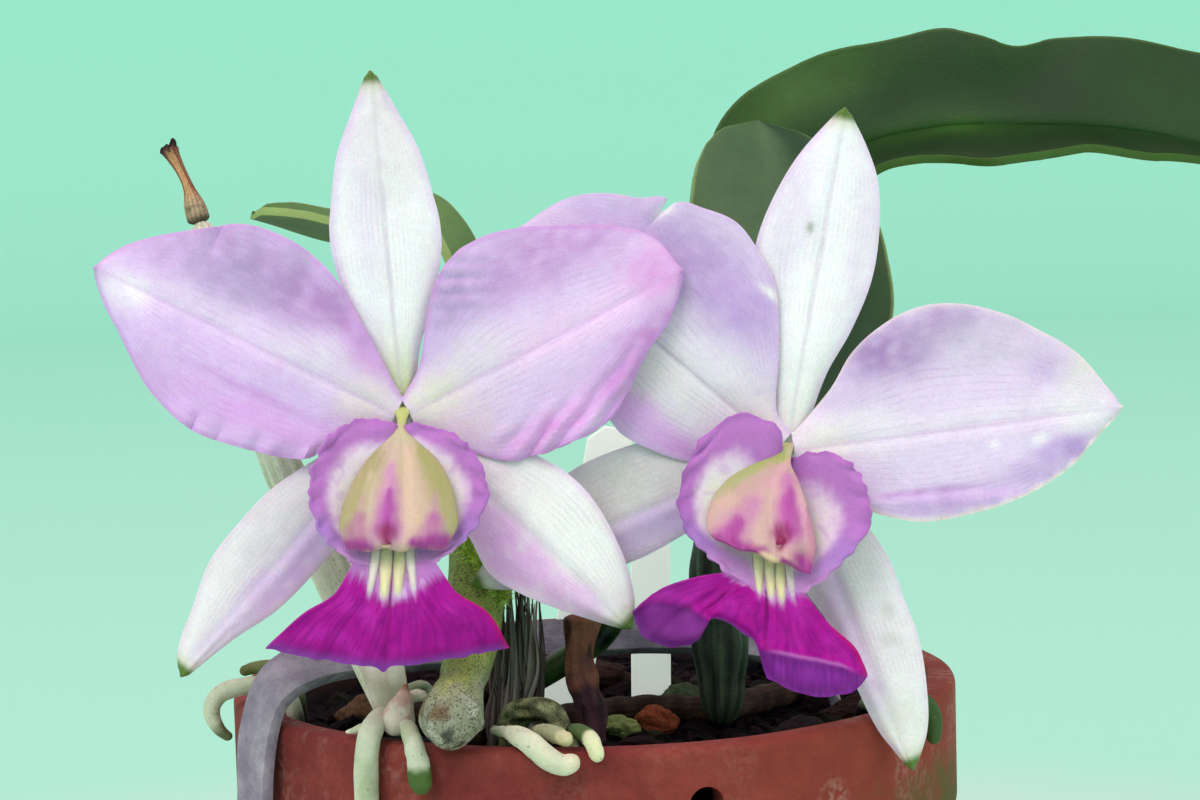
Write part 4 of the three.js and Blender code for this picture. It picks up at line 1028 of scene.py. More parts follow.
def tepal(flower, name, angle, plus, minus, tint, relief, sepal=False, bend=2.0):
    """A sepal or petal: it lies along +X of its own frame, turned by its angle about the flower's
    middle. plus is the half width to its left, minus to its right, and relief(s, t, edge) is its
    own modelling."""
    length = plus[-1][0]
    start = SEPAL_START if sepal else PETAL_START
    setback = SEPAL_SETBACK if sepal else 0

    def shape(u, v):
        s = start + (length - start) * (0.5 - 0.5 * cos(pi * (0.06 + 0.94 * u)))
        s = min(s, length)
        edge = 2 * v - 1
        width = reach(plus if edge > 0 else minus, s) * sqrt(min(1, (length - s) / 0.9))
        t = edge * width
        fall = bend * max((s / length - 0.7) / 0.3, 0) ** 1.5  # the tip bends back
        z = -setback + 0.6 * sin(pi * min(s / (0.7 * length), 1)) - fall
        groove = -0.35 * hump(t, 1.1) * rise(0, 8, s) * rise(length, length - 12, s)
        return Vector((s, t, z + groove + relief(s, t, edge)))

    def colour(u, v, p):
        side = plus if p.y > 0 else minus
        return tint(p.x, p.y, max(min(reach(side, p.x) - abs(p.y), length - p.x), 0))

    form = sheet(shape, columns=110, rows=64, tint=colour)
    matrix = FLOWERS[flower] @ Matrix.Rotation(radians(angle), 4, "Z")
    bmesh.ops.transform(form, matrix=matrix, verts=form.verts)
    made = put(f"{flower}_{name}_blade", form, sepal_skin if sepal else petal_skin)
    done(thicken(made, TEPAL_THICKNESS), "sepal" if sepal else "petal", f"{flower}_{name}")


def soft_form(arch, wave, seed):
    """The gentle curve that every tepal has: edges that fall back by arch, and slow waves."""
    def relief(s, t, edge):
        return -arch * edge * edge + wave * swell(s / 14, t / 12, seed)
    return relief


def sepal_relief(arch, seed):
    base = soft_form(arch, 0.5, seed)
    return lambda s, t, edge: base(s, t, edge) + 0.1 * sin(9 * edge)


# The left flower's sepals.
pairs = [(2, 2.4), (12, 4), (20, 7.3), (29, 9.5), (34, 9.7), (38, 9.1), (47, 7.2), (54, 4.1),
         (61.5, 0.5)]
tepal("left_flower", "dorsal_sepal", 95, pairs, pairs, painted("F1F0F2", [
    # Its green base is painted lighter than its own colour, as painted light where it lies in
    # shade.
    (6, 0, 8, 5, "CBD3AC", 0.7), (3, 0, 4, 4, "BDCB7E", 0.85), (42, 3, 20, 3, "E6DCEF", 0.6),
    (30, 0, 30, 0.5, "C9BFD0", 0.55), (50, 0, 12, 6, "DEDADC", 0.6),
], ("D9C4E4", 2.2, 0.7, 0.6), tip=61.5), sepal_relief(1.6, 1), sepal=True)
tepal("left_flower", "left_lateral_sepal", 229,
      [(2, 2.4), (12, 4.5), (18, 5.6), (31.2, 5.8), (40, 5.1), (49.2, 2.5), (59.7, 0.5)],
      [(2, 2.4), (10, 5), (17.5, 7.5), (24.8, 9.4), (32.2, 9.8), (41, 9.3), (49.7, 6.1),
       (56.5, 3.4), (59.7, 0.5)],
      painted("EDEBEC", [
          (14, -2, 16, 7, "DAD8D4", 0.7), (28, -3, 16, 6, "DAD4DA", 0.7),
          (34, 3.5, 22, 4, "D0AADC", 0.9), (24, 2, 12, 3, "CDB4DE", 0.5),
          (44, 0.5, 14, 2.5, "DCC6E8", 0.6), (50, 5, 8, 3, "EBD3EA", 0.7),
      ], ("E3CCE2", 1.6, 0.7, 0.5), tip=59.7), sepal_relief(1.4, 2), sepal=True)
tepal("left_flower", "right_lateral_sepal", -43,
      [(2, 2.4), (12, 7), (22.3, 11.2), (29.4, 12.5), (36.3, 11.7), (45.4, 8.3), (51.5, 4.4),
       (55, 0.5)],
      [(2, 2.4), (12, 5), (23.2, 7.6), (29.8, 9.8), (36, 8.8), (43.3, 6.1), (50, 3), (55, 0.5)],
      painted("F4F1F0", [
          (14, 2, 14, 9, "DBD4D6", 0.8), (28, -5, 17, 5.5, "EBAEEA", 0.95),
          (40, -3.5, 12, 3.6, "EABCEA", 0.85), (38, 5, 12, 4, "FBFBF6", 0.9),
          (18, -4, 9, 4, "E8B4E6", 0.7),
      ], ("E4CBE4", 1.8, 0.7, 0.5), tip=55), sepal_relief(1.6, 3), sepal=True)


# The left flower's petals.
def left_petal_relief(s, t, edge):
    base = -1.1 * edge * edge + 1.1 * swell(s / 15, t / 13, 5)
    lower = rise(0.45, 0.85, edge) * rise(6, 12, s) * rise(42, 34, s)
    ruffle = lower * (0.7 * sin(1.1 * s + 4 * swell(s / 4, 0, 2)) * rise(0.7, 1, edge) + 0.8)
    crease = -0.9 * hump(s - 41.5 + 0.1 * t, 0.9) * rise(-8, -14, t)
    waves = 0.55 * sin(0.75 * s + 0.15 * t) * rise(-0.35, -0.9, edge)
    return base + ruffle + crease + waves * rise(8, 16, s) * rise(52, 42, s)


tepal("left_flower", "left_petal", 153.5,
      [(2, 3.2), (10, 11.5), (13, 14.4), (22.5, 16.9), (31.7, 18.1), (38.4, 16.5), (43.5, 14.1),
       (51.3, 8.2), (56, 4.7), (60, 0.5)],
      [(2, 3.2), (11, 9.7), (17.5, 14.4), (23, 17.5), (29.6, 19.2), (36.5, 19.1), (41.5, 17.5),
       (46.6, 14), (52.5, 9.8), (57, 5.5), (60, 0.5)],
      painted("DDC0EC", [
          (38, -12, 22, 8, "B097C2", 0.75), (25, -12.5, 9, 5, "B486C2", 0.5),
          (15, -10.5, 8, 3.8, "B480C0", 0.6), (9, -6, 5, 3, "CF98D6", 0.8),
          (34, -1.5, 26, 3, "F0E0F6", 0.55), (53, 1.5, 5, 3, "F6F1F8", 0.85),
          (18, -3, 9, 4, "E6DAEA", 0.7), (6, 0.5, 7, 5, "E6DCDC", 0.9),
          (36, 13, 16, 4, "D2A4E0", 0.6), (20, 11, 10, 3, "D69CE0", 0.55),
          (24, 7.5, 13, 1.1, "C58CD4", 0.5), (28, 0, 32, 0.45, "C9A4D6", 0.5),
      ], ("C99AD8", 1.6, 0.75, 0.6)), left_petal_relief)


def right_petal_relief(s, t, edge):
    base = -1.2 * edge * edge + swell(s / 15, t / 13, 9)
    x, y = 0.886 * s - 0.463 * t, 0.463 * s + 0.886 * t  # across and up, in the flower's frame
    ribs_here = 0.5 * sin(2 * pi * y / 2.8 + 0.8 * swell(x / 4, 0, 1))
    ribs_here *= hump(x - 9.5, 5.5) * hump(y - 24, 5)
    folds = 0.75 * sin(2 * pi * (x - 0.75 * y) / 4.6 + 1.6 * swell(x / 6, y / 6, 7))
    folds *= rise(-0.45, -0.85, edge) * rise(10, 16, s) * rise(46, 36, s)
    return base + ribs_here + folds


tepal("left_flower", "right_petal", 27.6,
      [(2, 3.2), (7, 6.8), (14, 16), (19.7, 20.6), (26.5, 21.7), (33.6, 20.1), (41.6, 16.4),
       (49.2, 12.2), (54.4, 6.8), (56, 0.5)],
      [(2, 3.2), (11.4, 14.2), (18.2, 16.9), (25.6, 17.7), (30.8, 17.6), (36, 15.3), (40.7, 11.8),
       (44, 9.6), (49, 7.1), (52.6, 4.2), (56, 0.5)],
      painted("E3C9EF", [
          (20, 15, 12, 7, "BAA2CE", 0.9), (9, 8.5, 6, 3, "CDB2E2", 0.9),
          (17, 2.5, 11, 6, "DFD8E4", 0.85), (6, 0, 7, 4.5, "E4E0D2", 0.9),
          (35, 0, 16, 4, "F6D0F3", 0.85), (40, 14, 16, 6, "C298CE", 0.85),
          (52, 2, 7, 5, "E4A4E0", 0.85), (46, -7.5, 9, 3.6, "C88CCE", 0.85),
          (38, -11.5, 9, 4, "C98ECF", 0.85), (22, -14, 11, 3.6, "E0A2E0", 0.85),
          (10, -6, 6, 5, "E3CFD8", 0.7), (27, -8, 12, 3, "DCC0E6", 0.6),
          (28, 0, 30, 0.45, "CDA6D8", 0.5),
      ], ("C890D6", 1.5, 0.6, 0.75)), right_petal_relief)

# The right flower's sepals.
tepal("right_flower", "dorsal_sepal", 80.6,
      [(2, 2.4), (15, 5), (25, 9), (31, 11.2), (37.3, 11.4), (45.6, 9.5), (53.4, 6.3), (62.3, 0.5)],
      [(2, 2.4), (14.7, 4.6), (23.3, 7.7), (32.6, 9.8), (41.6, 9.7), (50.3, 8), (56.1, 5),
       (62.3, 0.5)],
      painted("F3F1F4", [
          (6, 0, 10, 5, "DEE2D2", 0.8), (22, 1, 18, 6, "FAF8F8", 0.8),
          (44, 6, 16, 4, "E4DAEC", 0.7), (40, -7, 18, 3, "E9DCEE", 0.6),
          (40.5, 2.6, 0.9, 0.7, "9CA698", 0.6), (33, 0, 30, 0.5, "CEC4D4", 0.5),
      ], ("DBC8E4", 1.8, 0.7, 0.6), tip=62.3), sepal_relief(1.5, 4), sepal=True)
tepal("right_flower", "left_lateral_sepal", 203.4,
      [(2, 2.4), (12, 5), (22.4, 6.4), (31.4, 7.3), (42, 6.5), (53.3, 4.1), (61, 0.5)],
      [(2, 2.4), (12, 7.5), (20, 11), (27, 12.1), (35.7, 12), (45, 9.5), (53, 5.5), (61, 0.5)],
      painted("E2E1E2", [
          (26, -5, 20, 7, "D3D3CE", 0.8), (22, 3.5, 14, 4, "CDB2E0", 0.9),
          (36, 3, 16, 3.6, "D2BCE2", 0.7), (50, 0, 10, 5, "E2E0E0", 0.8),
      ], ("DAC4E0", 1.8, 0.7, 0.4), tip=61), sepal_relief(1.2, 5), sepal=True, bend=-2)
tepal("right_flower", "right_lateral_sepal", -67.9,
      [(2, 2.4), (10, 6), (18.5, 8.7), (24.7, 9.9), (32.4, 9.7), (40, 9.5), (48.7, 7.5),
       (55.4, 4.9), (61, 0.5)],
      [(2, 2.4), (14, 6), (24, 6.1), (30.7, 4.4), (44.2, 3.8), (52.2, 3.1), (57.6, 1.5), (61, 0.5)],
      painted("EFEDEF", [
          (16, 2, 12, 7, "D6D8D4", 0.8), (26, -2, 16, 3, "DCC4E6", 0.8),
          (40, -1.5, 12, 2.6, "E2CBEA", 0.7), (38, 5, 1.6, 1.6, "C2CBBE", 0.45),
          (33, 6.5, 1.4, 1.4, "C6CEC2", 0.4), (52, 3, 4, 2, "D3DCC8", 0.5),
          (54, 2, 8, 4, "F2F2E8", 0.7),
      ], ("E2CFE8", 1.4, 0.4, 0.6), tip=61), sepal_relief(1.4, 6), sepal=True)


# The right flower's petals: the left one is torn at one edge, and the right one's has dried pale.
def torn_petal_relief(s, t, edge):
    torn_edge = 0.8 * hump(s - 46.5, 1.2) * rise(-14, -19, t)
    return torn_edge - 1.2 * edge * edge + 0.9 * swell(s / 15, t / 13, 12)


TEAR = [(43.9, 21.2), (44.6, 17.5), (45.3, 20.8)]
tepal("right_flower", "left_petal", 140,
      [(2, 3.2), (12, 12.4), (18.8, 15.3), (24.5, 16.6), (28.9, 15.7), (38, 15), (48, 11), (56, 6),
       (62.3, 0.5)],
      [(2, 3.2), (6.3, 4.5), (12.7, 12.9), (20, 20.8), (26, 23.8), (33.2, 25.5),
       (39.7, 23.5), *TEAR, (49, 17.9), (55, 14), (59.6, 8.6), (62.3, 0.5)],
      painted("DDCDE8", [
          (34, -14, 18, 9, "B69CCC", 0.9), (22, -15, 8, 6, "C2A2DA", 0.7),
          (48, -9, 12, 8, "C9B4DE", 0.8), (22, -1, 16, 7, "E2E0E6", 0.9),
          # The two lilac patches on the lower side, at 12.5 and 13 across, are painted lighter, as
          # painted light where the left flower shades them.
          (26, 6, 14, 6, "DCDCDA", 0.85), (8, -2, 8, 5, "E6DCDC", 0.8),
          (16, 12.5, 10, 3.4, "D4A2DE", 0.85), (28, 13, 9, 4, "DCAEE6", 0.9),
          (19.5, -19.8, 2.6, 0.9, "F2F2EA", 0.8), (45, -19, 1.2, 2.5, "F2F2EA", 0.9),
          (26, 0, 24, 0.45, "A89CB0", 0.6),
      ], ("CDB6E0", 1.4, 0.5, 0.5)), torn_petal_relief)


def frayed_petal_relief(s, t, edge):
    base = -1.1 * edge * edge + swell(s / 15, t / 13, 15)
    fold = rise(-10.2, -12.4, t + 0.08 * (s - 26)) * rise(10, 16, s) * rise(44, 34, s)
    crisp = 0.5 * sin(1.9 * s + 3 * swell(s / 4, 1, 1)) * rise(-0.8, -1, edge) * rise(20, 30, s)
    return base + fold + crisp + 0.35 * sin(0.8 * s) * rise(0.6, 1, edge)


tepal("right_flower", "right_petal", 8,
      [(2, 3.2), (9.2, 9.8), (13.6, 15.5), (19.8, 20), (27.2, 22.4), (34.3, 21.9), (41.2, 19.4),
       (47.7, 15.2), (54.1, 9.8), (57.8, 3.9), (60, 0.5)],
      [(2, 3.2), (8, 8), (13.4, 12.3), (18.4, 14.5), (23.6, 15.6), (32.8, 15), (42, 13),
       (49.6, 9.3), (55.9, 3.9), (60, 0.5)],
      painted("E4D4EE", [
          (20, 15, 9, 5, "A687BB", 0.9), (30, 19, 10, 4, "B8A0C8", 0.85),
          (40, 14, 9, 5, "CCC2D6", 0.8), (14, 8, 8, 4, "D5C2E2", 0.6),
          (12, 1, 11, 5, "EDE8EC", 0.85), (6, 0, 5, 4, "F0ECE4", 0.9),
          (34, 1, 20, 3, "F2E2F4", 0.8), (53, 1, 6, 5, "F1EDF0", 0.85),
          (53, 7, 4, 4, "DDDCD6", 0.8), (48, 9, 4, 3, "C4B0DA", 0.6),
          (50, -6, 6, 2.4, "C2A2DC", 0.9), (43, -9.5, 7, 2.4, "C6AEDC", 0.85),
          (28, -12.8, 13, 2.4, "C9AADD", 0.85), (24, -10.2, 10, 0.8, "B684C6", 0.7),
          (37, -3.5, 1.1, 0.8, "FBF6FA", 0.7), (45, -3.6, 1.4, 1, "FDF8FC", 0.7),
          (29, 0, 29, 0.35, "C896CC", 0.35),
      ], ("EFE6DA", 1.1, 0.45, 0.95)), frayed_petal_relief)

# ---- Lips ----
# The lip is the third petal: two side lobes curl round the column, and below a narrow waist with
# raised yellow keels it spreads into a deep magenta fan.


def along(line, t):
    """The place at t, from 0 to 1, counted in the line's own points."""
    x = min(max(t, 0), 1) * (len(line) - 1)
    i = min(int(x), len(line) - 2)
    return line[i].lerp(line[i + 1], x - i)


def patch(top, bottom, left, right):
    """A sheet stretched between four smooth edges."""
    top, bottom, left, right = [smooth_line(edge, 24) for edge in (top, bottom, left, right)]

    def place(u, v):
        p = along(top, u) * (1 - v) + along(bottom, u) * v
        p = p + along(left, v) * (1 - u) + along(right, v) * u
        p -= (top[0] * (1 - u) + top[-1] * u) * (1 - v)
        return p - (bottom[0] * (1 - u) + bottom[-1] * u) * v
    return place


LIPS = {
    "left_flower": {
        "top": [(-12.8, -2.8, 6), (-7.5, -0.2, 4), (-1.5, -1, 3.8), (-0.2, -2.4, 1), (1, -1, 3.8),
                (6.5, -2, 4), (11, -4.2, 6)],
        "left_lobe": [(-12.8, -2.8, 6), (-15.8, -9, 7.5), (-16, -14.5, 8.5), (-13.8, -20.4, 9.5),
                      (-8.8, -24.9, 10.5)],
        "right_lobe": [(11, -4.2, 6), (14, -9.4, 7.5), (14.4, -14, 8.5), (11.6, -20, 9.5),
                       (5.4, -24.9, 10.5)],
        "waist": [(-8.8, -24.9, 10.5), (-2, -26, 9.6), (5.4, -24.9, 10.5)],
        "left_fan": [(-8.8, -24.9, 10.5), (-12, -30.2, 11.2), (-17.4, -33.6, 11),
                     (-23.9, -39.6, 8.6)],
        "right_fan": [(5.4, -24.9, 10.5), (9.2, -30.2, 11.2), (14.4, -33.6, 11), (18.2, -40, 8.6)],
        "hem": [(-23.9, -39.6, 8.6), (-14, -41.6, 10.4), (-4, -42.8, 11.6), (8, -41.6, 10.4),
                (18.2, -40, 8.6)],
        # Widths of the mauve band, from the left lobe's foot round the top to the right one's.
        "band": [2.2, 2.6, 3.2, 3.6, 4.6, 5, 4.4, 2.6, 2.4, 3.6, 3.8, 3.4, 3.2, 2.8, 2.2],
        "neck": (0.13, 0.34),
        "keels": [((-2.7, -21), (-3.5, -31), 1.05), ((-0.6, -21), (-1.1, -30.6), 1.0),
                  ((-4.5, -22), (-5.9, -30), 0.62), ((0.9, -22), (1.7, -29.8), 0.62)],
        "midline": [(-1.7, -20), (-2, -27), (-2.6, -33), (-3.6, -43)],
        # The heights between which the midline is painted dark, as painted shade in its groove.
        "groove": (-20, -34),
        "folded": [],
    },
    "right_flower": {
        "top": [(-15, 2.2, 6.6), (-8, 6.8, 5.6), (-1.6, 4.4, 4.4), (-0.6, -0.4, 1.8),
                (0.4, -1.6, 1), (1.6, -1, 1.4), (6, 0.2, 4), (11.4, -1.6, 6)],
        "left_lobe": [(-15, 2.2, 6.6), (-18.6, -6, 7.6), (-17.8, -13.4, 8.6), (-10.4, -21, 10.2)],
        "right_lobe": [(11.4, -1.6, 6), (14.4, -7, 7.4), (14.4, -13, 8.6), (10.6, -18.4, 9.6),
                       (3.4, -24.6, 10.4)],
        "waist": [(-10.4, -21, 10.2), (-4, -24.4, 9.6), (3.4, -24.6, 10.4)],
        "left_fan": [(-10.4, -21, 10.2), (-15.4, -21.9, 11), (-22.4, -24.4, 11.4),
                     (-26.8, -28.2, 10.6)],
        "right_fan": [(3.4, -24.6, 10.4), (7.8, -29.9, 11.6), (12.3, -34.1, 12.4),
                      (14.3, -38.8, 12)],
        "hem": [(-26.8, -28.2, 10.6), (-25, -32, 9.9), (-20.6, -34.3, 9.8), (-16, -33.4, 10.4),
                (-12.9, -29, 12.6), (-8.4, -30.6, 12.9), (-5, -33.4, 13), (-3.4, -38.2, 12.4),
                (-0.6, -40.6, 12), (3.6, -42.2, 11.7), (8.6, -42.4, 11.5), (12.2, -41.4, 11.7),
                (14.3, -38.8, 12)],
        "band": [2.2, 2.6, 3, 3.6, 6, 8.4, 8.4, 5.8, 1.6, 4.4, 7, 7.2, 6.8, 6, 4.6, 3.2, 2.4],
        "neck": (0.03, 0.12),
        "keels": [((-4.9, -17), (-4.5, -24.8), 0.75), ((-2.8, -18), (-2.4, -25.6), 0.85),
                  ((-1.1, -19), (-0.6, -26.2), 0.8), ((0.5, -19.5), (1.3, -25), 0.5)],
        "midline": [(-3.4, -17), (-3.4, -24), (-3.5, -30), (-3.2, -40)],
        "groove": (-23, -30),
        # Below these lines the fan's hem is turned over and shows its violet back, darkened as
        # painted shade.
        "folded": [(-28, -27.6), (-23, -25.6), (-17.5, -26.2), (-13, -29.2)],
        "crease": [(-6, -33.8), (-0.8, -34.8), (4.8, -35.9), (9.7, -36.8), (14.4, -38.8)],
    },
}
LIP_THICKNESS = 0.6
MAGENTA, DEEP, VIOLET, SHADED_UNDERSIDE = "AB1A94", "82107A", "7B4AA6", "823A90"
CREAM, MAUVE, LILAC = "DEDDD0", "BA7AC2", "A58AD2"


def beside(line, x, y):
    """How far x lies to the right of a line of (x, y) points that runs down, at the height y."""
    for (x0, y0), (x1, y1) in zip(line, line[1:]):
        if y >= y1 or (x1, y1) == tuple(line[-1]):
            return x - (x0 + (x1 - x0) * (y - y0) / (y1 - y0))


def under(line, x, y):
    """How far y lies below a line of (x, y) points that runs to the right, at the place x."""
    for (x0, y0), (x1, y1) in zip(line, line[1:]):
        if x <= x1 or (x1, y1) == tuple(line[-1]):
            return y0 + (y1 - y0) * (x - x0) / (x1 - x0) - y


def stroke(x, y, start, end, half, past):
    """How much of (x, y) a soft brush stroke covers, whose half width goes from half to past."""
    along_x, along_y = end[0] - start[0], end[1] - start[1]
    t = ((x - start[0]) * along_x + (y - start[1]) * along_y) / (along_x ** 2 + along_y ** 2)
    t = min(max(t, 0), 1)
    away = math.hypot(x - start[0] - t * along_x, y - start[1] - t * along_y)
    width = half + (past - half) * t
    return rise(2.1 * width, 0.2 * width, away)


def lip(flower, edges):
    """The lip as one sheet: the side lobes above the waist and the fan below it."""
    lobes = patch(edges["top"], edges["waist"], edges["left_lobe"], edges["right_lobe"])
    fan = patch(edges["waist"], edges["hem"], edges["left_fan"], edges["right_fan"])
    seed = len(flower)
    waist = 0.5  # the share of the rows that the side lobes take
    left, top, right = [smooth_line(edges[edge], 10) for edge in ("left_lobe", "top", "right_lobe")]
    outline = left[::-1] + top + right
    # The mauve band is a row of discs along the side lobes' outer edge.
    discs = [(p.x, p.y, spread(edges["band"], i / (len(outline) - 1)))
             for i, p in enumerate(outline)]

    def keels_at(x, y):
        """For each keel, the heights of its ends, its half width, how wide that is at y, and how
        far x lies to its right."""
        for start, end, half in edges["keels"]:
            taper = half * (1 - 0.6 * rise(start[1] - 2, end[1], y))
            yield start[1], end[1], half, taper, beside([start, end], x, y)

    def keel_height(x, y):
        return max(hump(across, taper) * rise(top + 1, top - 1, y) * rise(foot - 0.8, foot + 2, y)
                   for top, foot, _, taper, across in keels_at(x, y))

    def shape(u, v):
        edge = abs(2 * u - 1)
        if v < waist:
            down = v / waist
            p = lobes(u, down)
            p.z -= 1.8 * sin(pi * down) * cos((2 * u - 1) * pi / 2) ** 0.7 * rise(0, 0.4, down)
            wavy = rise(0.78, 1, edge) + rise(0.14, 0, down)
            p.z += wavy * (0.7 * swell(u * 9, down * 9, seed) + 0.3 * sin(34 * down + 20 * u))
            p.x += 0.55 * rise(0.8, 1, edge) * (1 if u > 0.5 else -1) * (
                swell(down * 14, seed, u) + 0.35 * sin(44 * down + 4 * sin(7 * down)))
            jagged = 0.6 * swell(u * 16, seed, 1) + 0.25 * swell(u * 40, seed, 2)
            p.y += rise(0.12, 0, down) * jagged
            p.z += keel_height(p.x, p.y)
            return p
        down = (v - waist) / (1 - waist)
        p = fan(u, down)
        p.z += keel_height(p.x, p.y)
        pleat = swell(u * 13, 0.6 * down, seed) + 0.6 * swell(u * 31, 0.8 * down, seed + 3)
        p.z += 0.6 * pleat * rise(0.1, 0.6, down) + swell(u * 3, down * 2, seed)
        p.z -= 1.6 * rise(0.8, 1, down) ** 2
        p.y += rise(0.9, 1, down) * 0.5 * swell(u * 17, seed, 3)
        middle = hump(beside(edges["midline"], p.x, p.y), 1.4)
        p.z -= 0.6 * middle * rise(0.15, 0.4, down)
        p.y -= 0.7 * hump(beside(edges["midline"], p.x, p.y), 0.8) * rise(0.94, 1, down)
        if edges["folded"]:
            p.z += 0.8 * hump(under(edges["folded"], p.x, p.y), 1) * rise(-12, -14, p.x)
            low = under(edges["crease"], p.x, p.y)
            here = rise(-7, -4, p.x)
            p.z += 0.9 * hump(low, 1) * here
            fine_pleats = sin(2.6 * p.x + 1.6 * swell(p.x / 3, p.y / 4, 2))
            p.z += rise(0, 1.5, low) * here * 0.1 * fine_pleats
        return p

    def lobe_colour(x, y, down):
        near = [(math.hypot(x - at_x, y - at_y), width) for at_x, at_y, width in discs]
        gap = min(near)[0]
        uneven = 1 + 0.12 * swell(x * 0.9, y * 0.9, seed + 5)
        uneven += 0.16 * swell(x / 4, y / 4, seed)
        halo = max(rise(1.8 * width, width, away * uneven) for away, width in near)
        band = max(rise(1.25 * width, 0.55 * width, away * uneven) for away, width in near)
        shade = blend(CREAM, "E0DAD8", 0.5 + lump((x, y, 0), 6, 4))
        shade = blend(shade, "E4CAE6", 0.75 * halo)
        shade = blend(shade, MAUVE, band)
        deeper = 0.6 * rise(0.9, 0.1, gap) + 0.25 * rise(0.1, 0.5, lump((x, y, 0), 2, 2))
        shade = blend(shade, "AE70C0", deeper)
        shade = blend(shade, LILAC, 0.7 * rise(0.45, 0.85, down) * band)
        # Light mauve at the lobes' foot, made lighter still as painted light where the column
        # shades it.
        return blend(shade, "C790D0", rise(0.72, 0.92, down))

    def fan_colour(u, down, x, y, edge):
        wander = u + 0.02 * swell(u * 7, down * 4, seed)
        veins = rise(0.14, 0.0, abs(swell(wander * 20, down * 1.3, seed)))
        veins = max(veins, 0.7 * rise(0.12, 0.0, abs(swell(wander * 38, down * 1.8, seed + 1))))
        shade = blend(MAGENTA, "C030B0", 0.5 * rise(-0.1, 0.5, lump((x, y, 0), 4, 7)))
        darker = 0.5 * veins * rise(0.1, 0.3, down) + 0.3 * rise(0.0, 0.5, lump((x, y, 0), 3, 9))
        shade = blend(shade, DEEP, darker)
        sides, middle = edges["neck"]
        neck = down - sides - (middle - sides) * (1 - edge) ** 1.4
        neck += 0.07 * swell(u * 13, 4 * down, seed) + 0.03 * swell(u * 50, 6 * down, 2)
        shade = blend(shade, "BC7CC4", rise(0.07, -0.08, neck))
        ragged = swell(u * 16, down * 7, 2) + 0.4 * swell(u * 46, down * 12, 5)
        shade = blend(shade, "E4CEEA", 0.6 * rise(-0.05, 0.4, ragged) * rise(0.05, -0.07, neck)
                      * rise(0.0, 0.08, down) * rise(0.85, 0.5, edge))
        # Painted shade: a darker line along the fan's sunken midline.
        middle_fold_shade = hump(beside(edges["midline"], x, y), 0.4) * rise(0.1, 0.3, down)
        shade = blend(shade, "8E1670", 0.5 * middle_fold_shade)
        shade = blend(shade, VIOLET, 0.75 * rise(0.9, 1, down))
        return blend(shade, "BC1458", 0.6 * rise(0.93, 1, edge) * rise(0.2, 0.5, down) * (x > 0))

    def colour(u, v, p):
        edge = abs(2 * u - 1)
        x, y = p.x, p.y
        if v < waist:
            shade = lobe_colour(x, y, v / waist)
        else:
            shade = fan_colour(u, (v - waist) / (1 - waist), x, y, edge)
        for top, foot, half, taper, across in keels_at(x, y):
            ragged = 1.8 + 1.5 * swell(x * 1.3, 0, 7)
            halo = rise(top, top - 2, y) * rise(foot - ragged, foot + 1, y)
            shade = blend(shade, "E8D3EA", 0.7 * hump(across, 1.6 * taper) * halo)
            inside = rise(top + 1.2, top, y) * rise(foot - 0.4, foot + 1.4, y)
            wax_colour = "E9E3B2" if half > 0.7 else "EADFD6"
            shade = blend(shade, wax_colour, min(1, 1.6 * hump(across, taper)) * inside)
        # Painted shade: a dark line along each side of every keel.
        for top, foot, half, taper, across in keels_at(x, y):
            for side in (-1, 1):
                furrow_shade = rise(top, top - 2, y) * rise(foot, foot + 4, y)
                furrow_shade *= hump(across - side * 1.25 * taper, 0.22)
                shade = blend(shade, "7A3A70", 0.55 * furrow_shade)
        # Painted shade: a dark line along the midline between the keels.
        top, foot = edges["groove"]
        groove = hump(beside(edges["midline"], x, y), 0.25)
        groove *= rise(top, top - 2, y) * rise(foot, foot + 3, y)
        shade = blend(shade, "6E1A58", 0.85 * groove)
        # The turned-over hem: its violet back, darkened as painted shade.
        if edges["folded"]:
            back = blend(SHADED_UNDERSIDE, "6E2C7E", 0.5 + lump((x, y, 0), 3))
            left = rise(-0.3, 1.2, under(edges["folded"], x, y)) * rise(-12, -13.5, x)
            shade = blend(shade, back, 0.85 * max(left, 0.45 * rise(-14, -21, x)))
            low = under(edges["crease"], x, y)
            ribs_here = 0.5 + 0.9 * swell(1.9 * x, 0.25 * y, 2)
            back = blend("8E36A0", "742A88", ribs_here)
            shade = blend(shade, back, 0.9 * rise(-0.2, 0.5, low) * rise(-7, -4, x))
            # Painted highlight: a light line along the crease.
            shade = blend(shade, "C98AD0", 0.5 * hump(low, 0.2) * rise(-4, 0, x) * rise(13, 9, x))
        return shade

    form = sheet(shape, columns=190, rows=150, tint=colour)
    bmesh.ops.transform(form, matrix=FLOWERS[flower], verts=form.verts)
    return form


lip_skin = bloom_finish(
    "lip_skin", "8A3A94", veins=3, vein_depth=0.0, roughness=0.5, gloss=0.1, sheen=0.0)
for flower, edges in LIPS.items():
    made = put(flower + "_lip_blade", lip(flower, edges), lip_skin)
    done(thicken(made, LIP_THICKNESS), "lip", flower + "_lip")

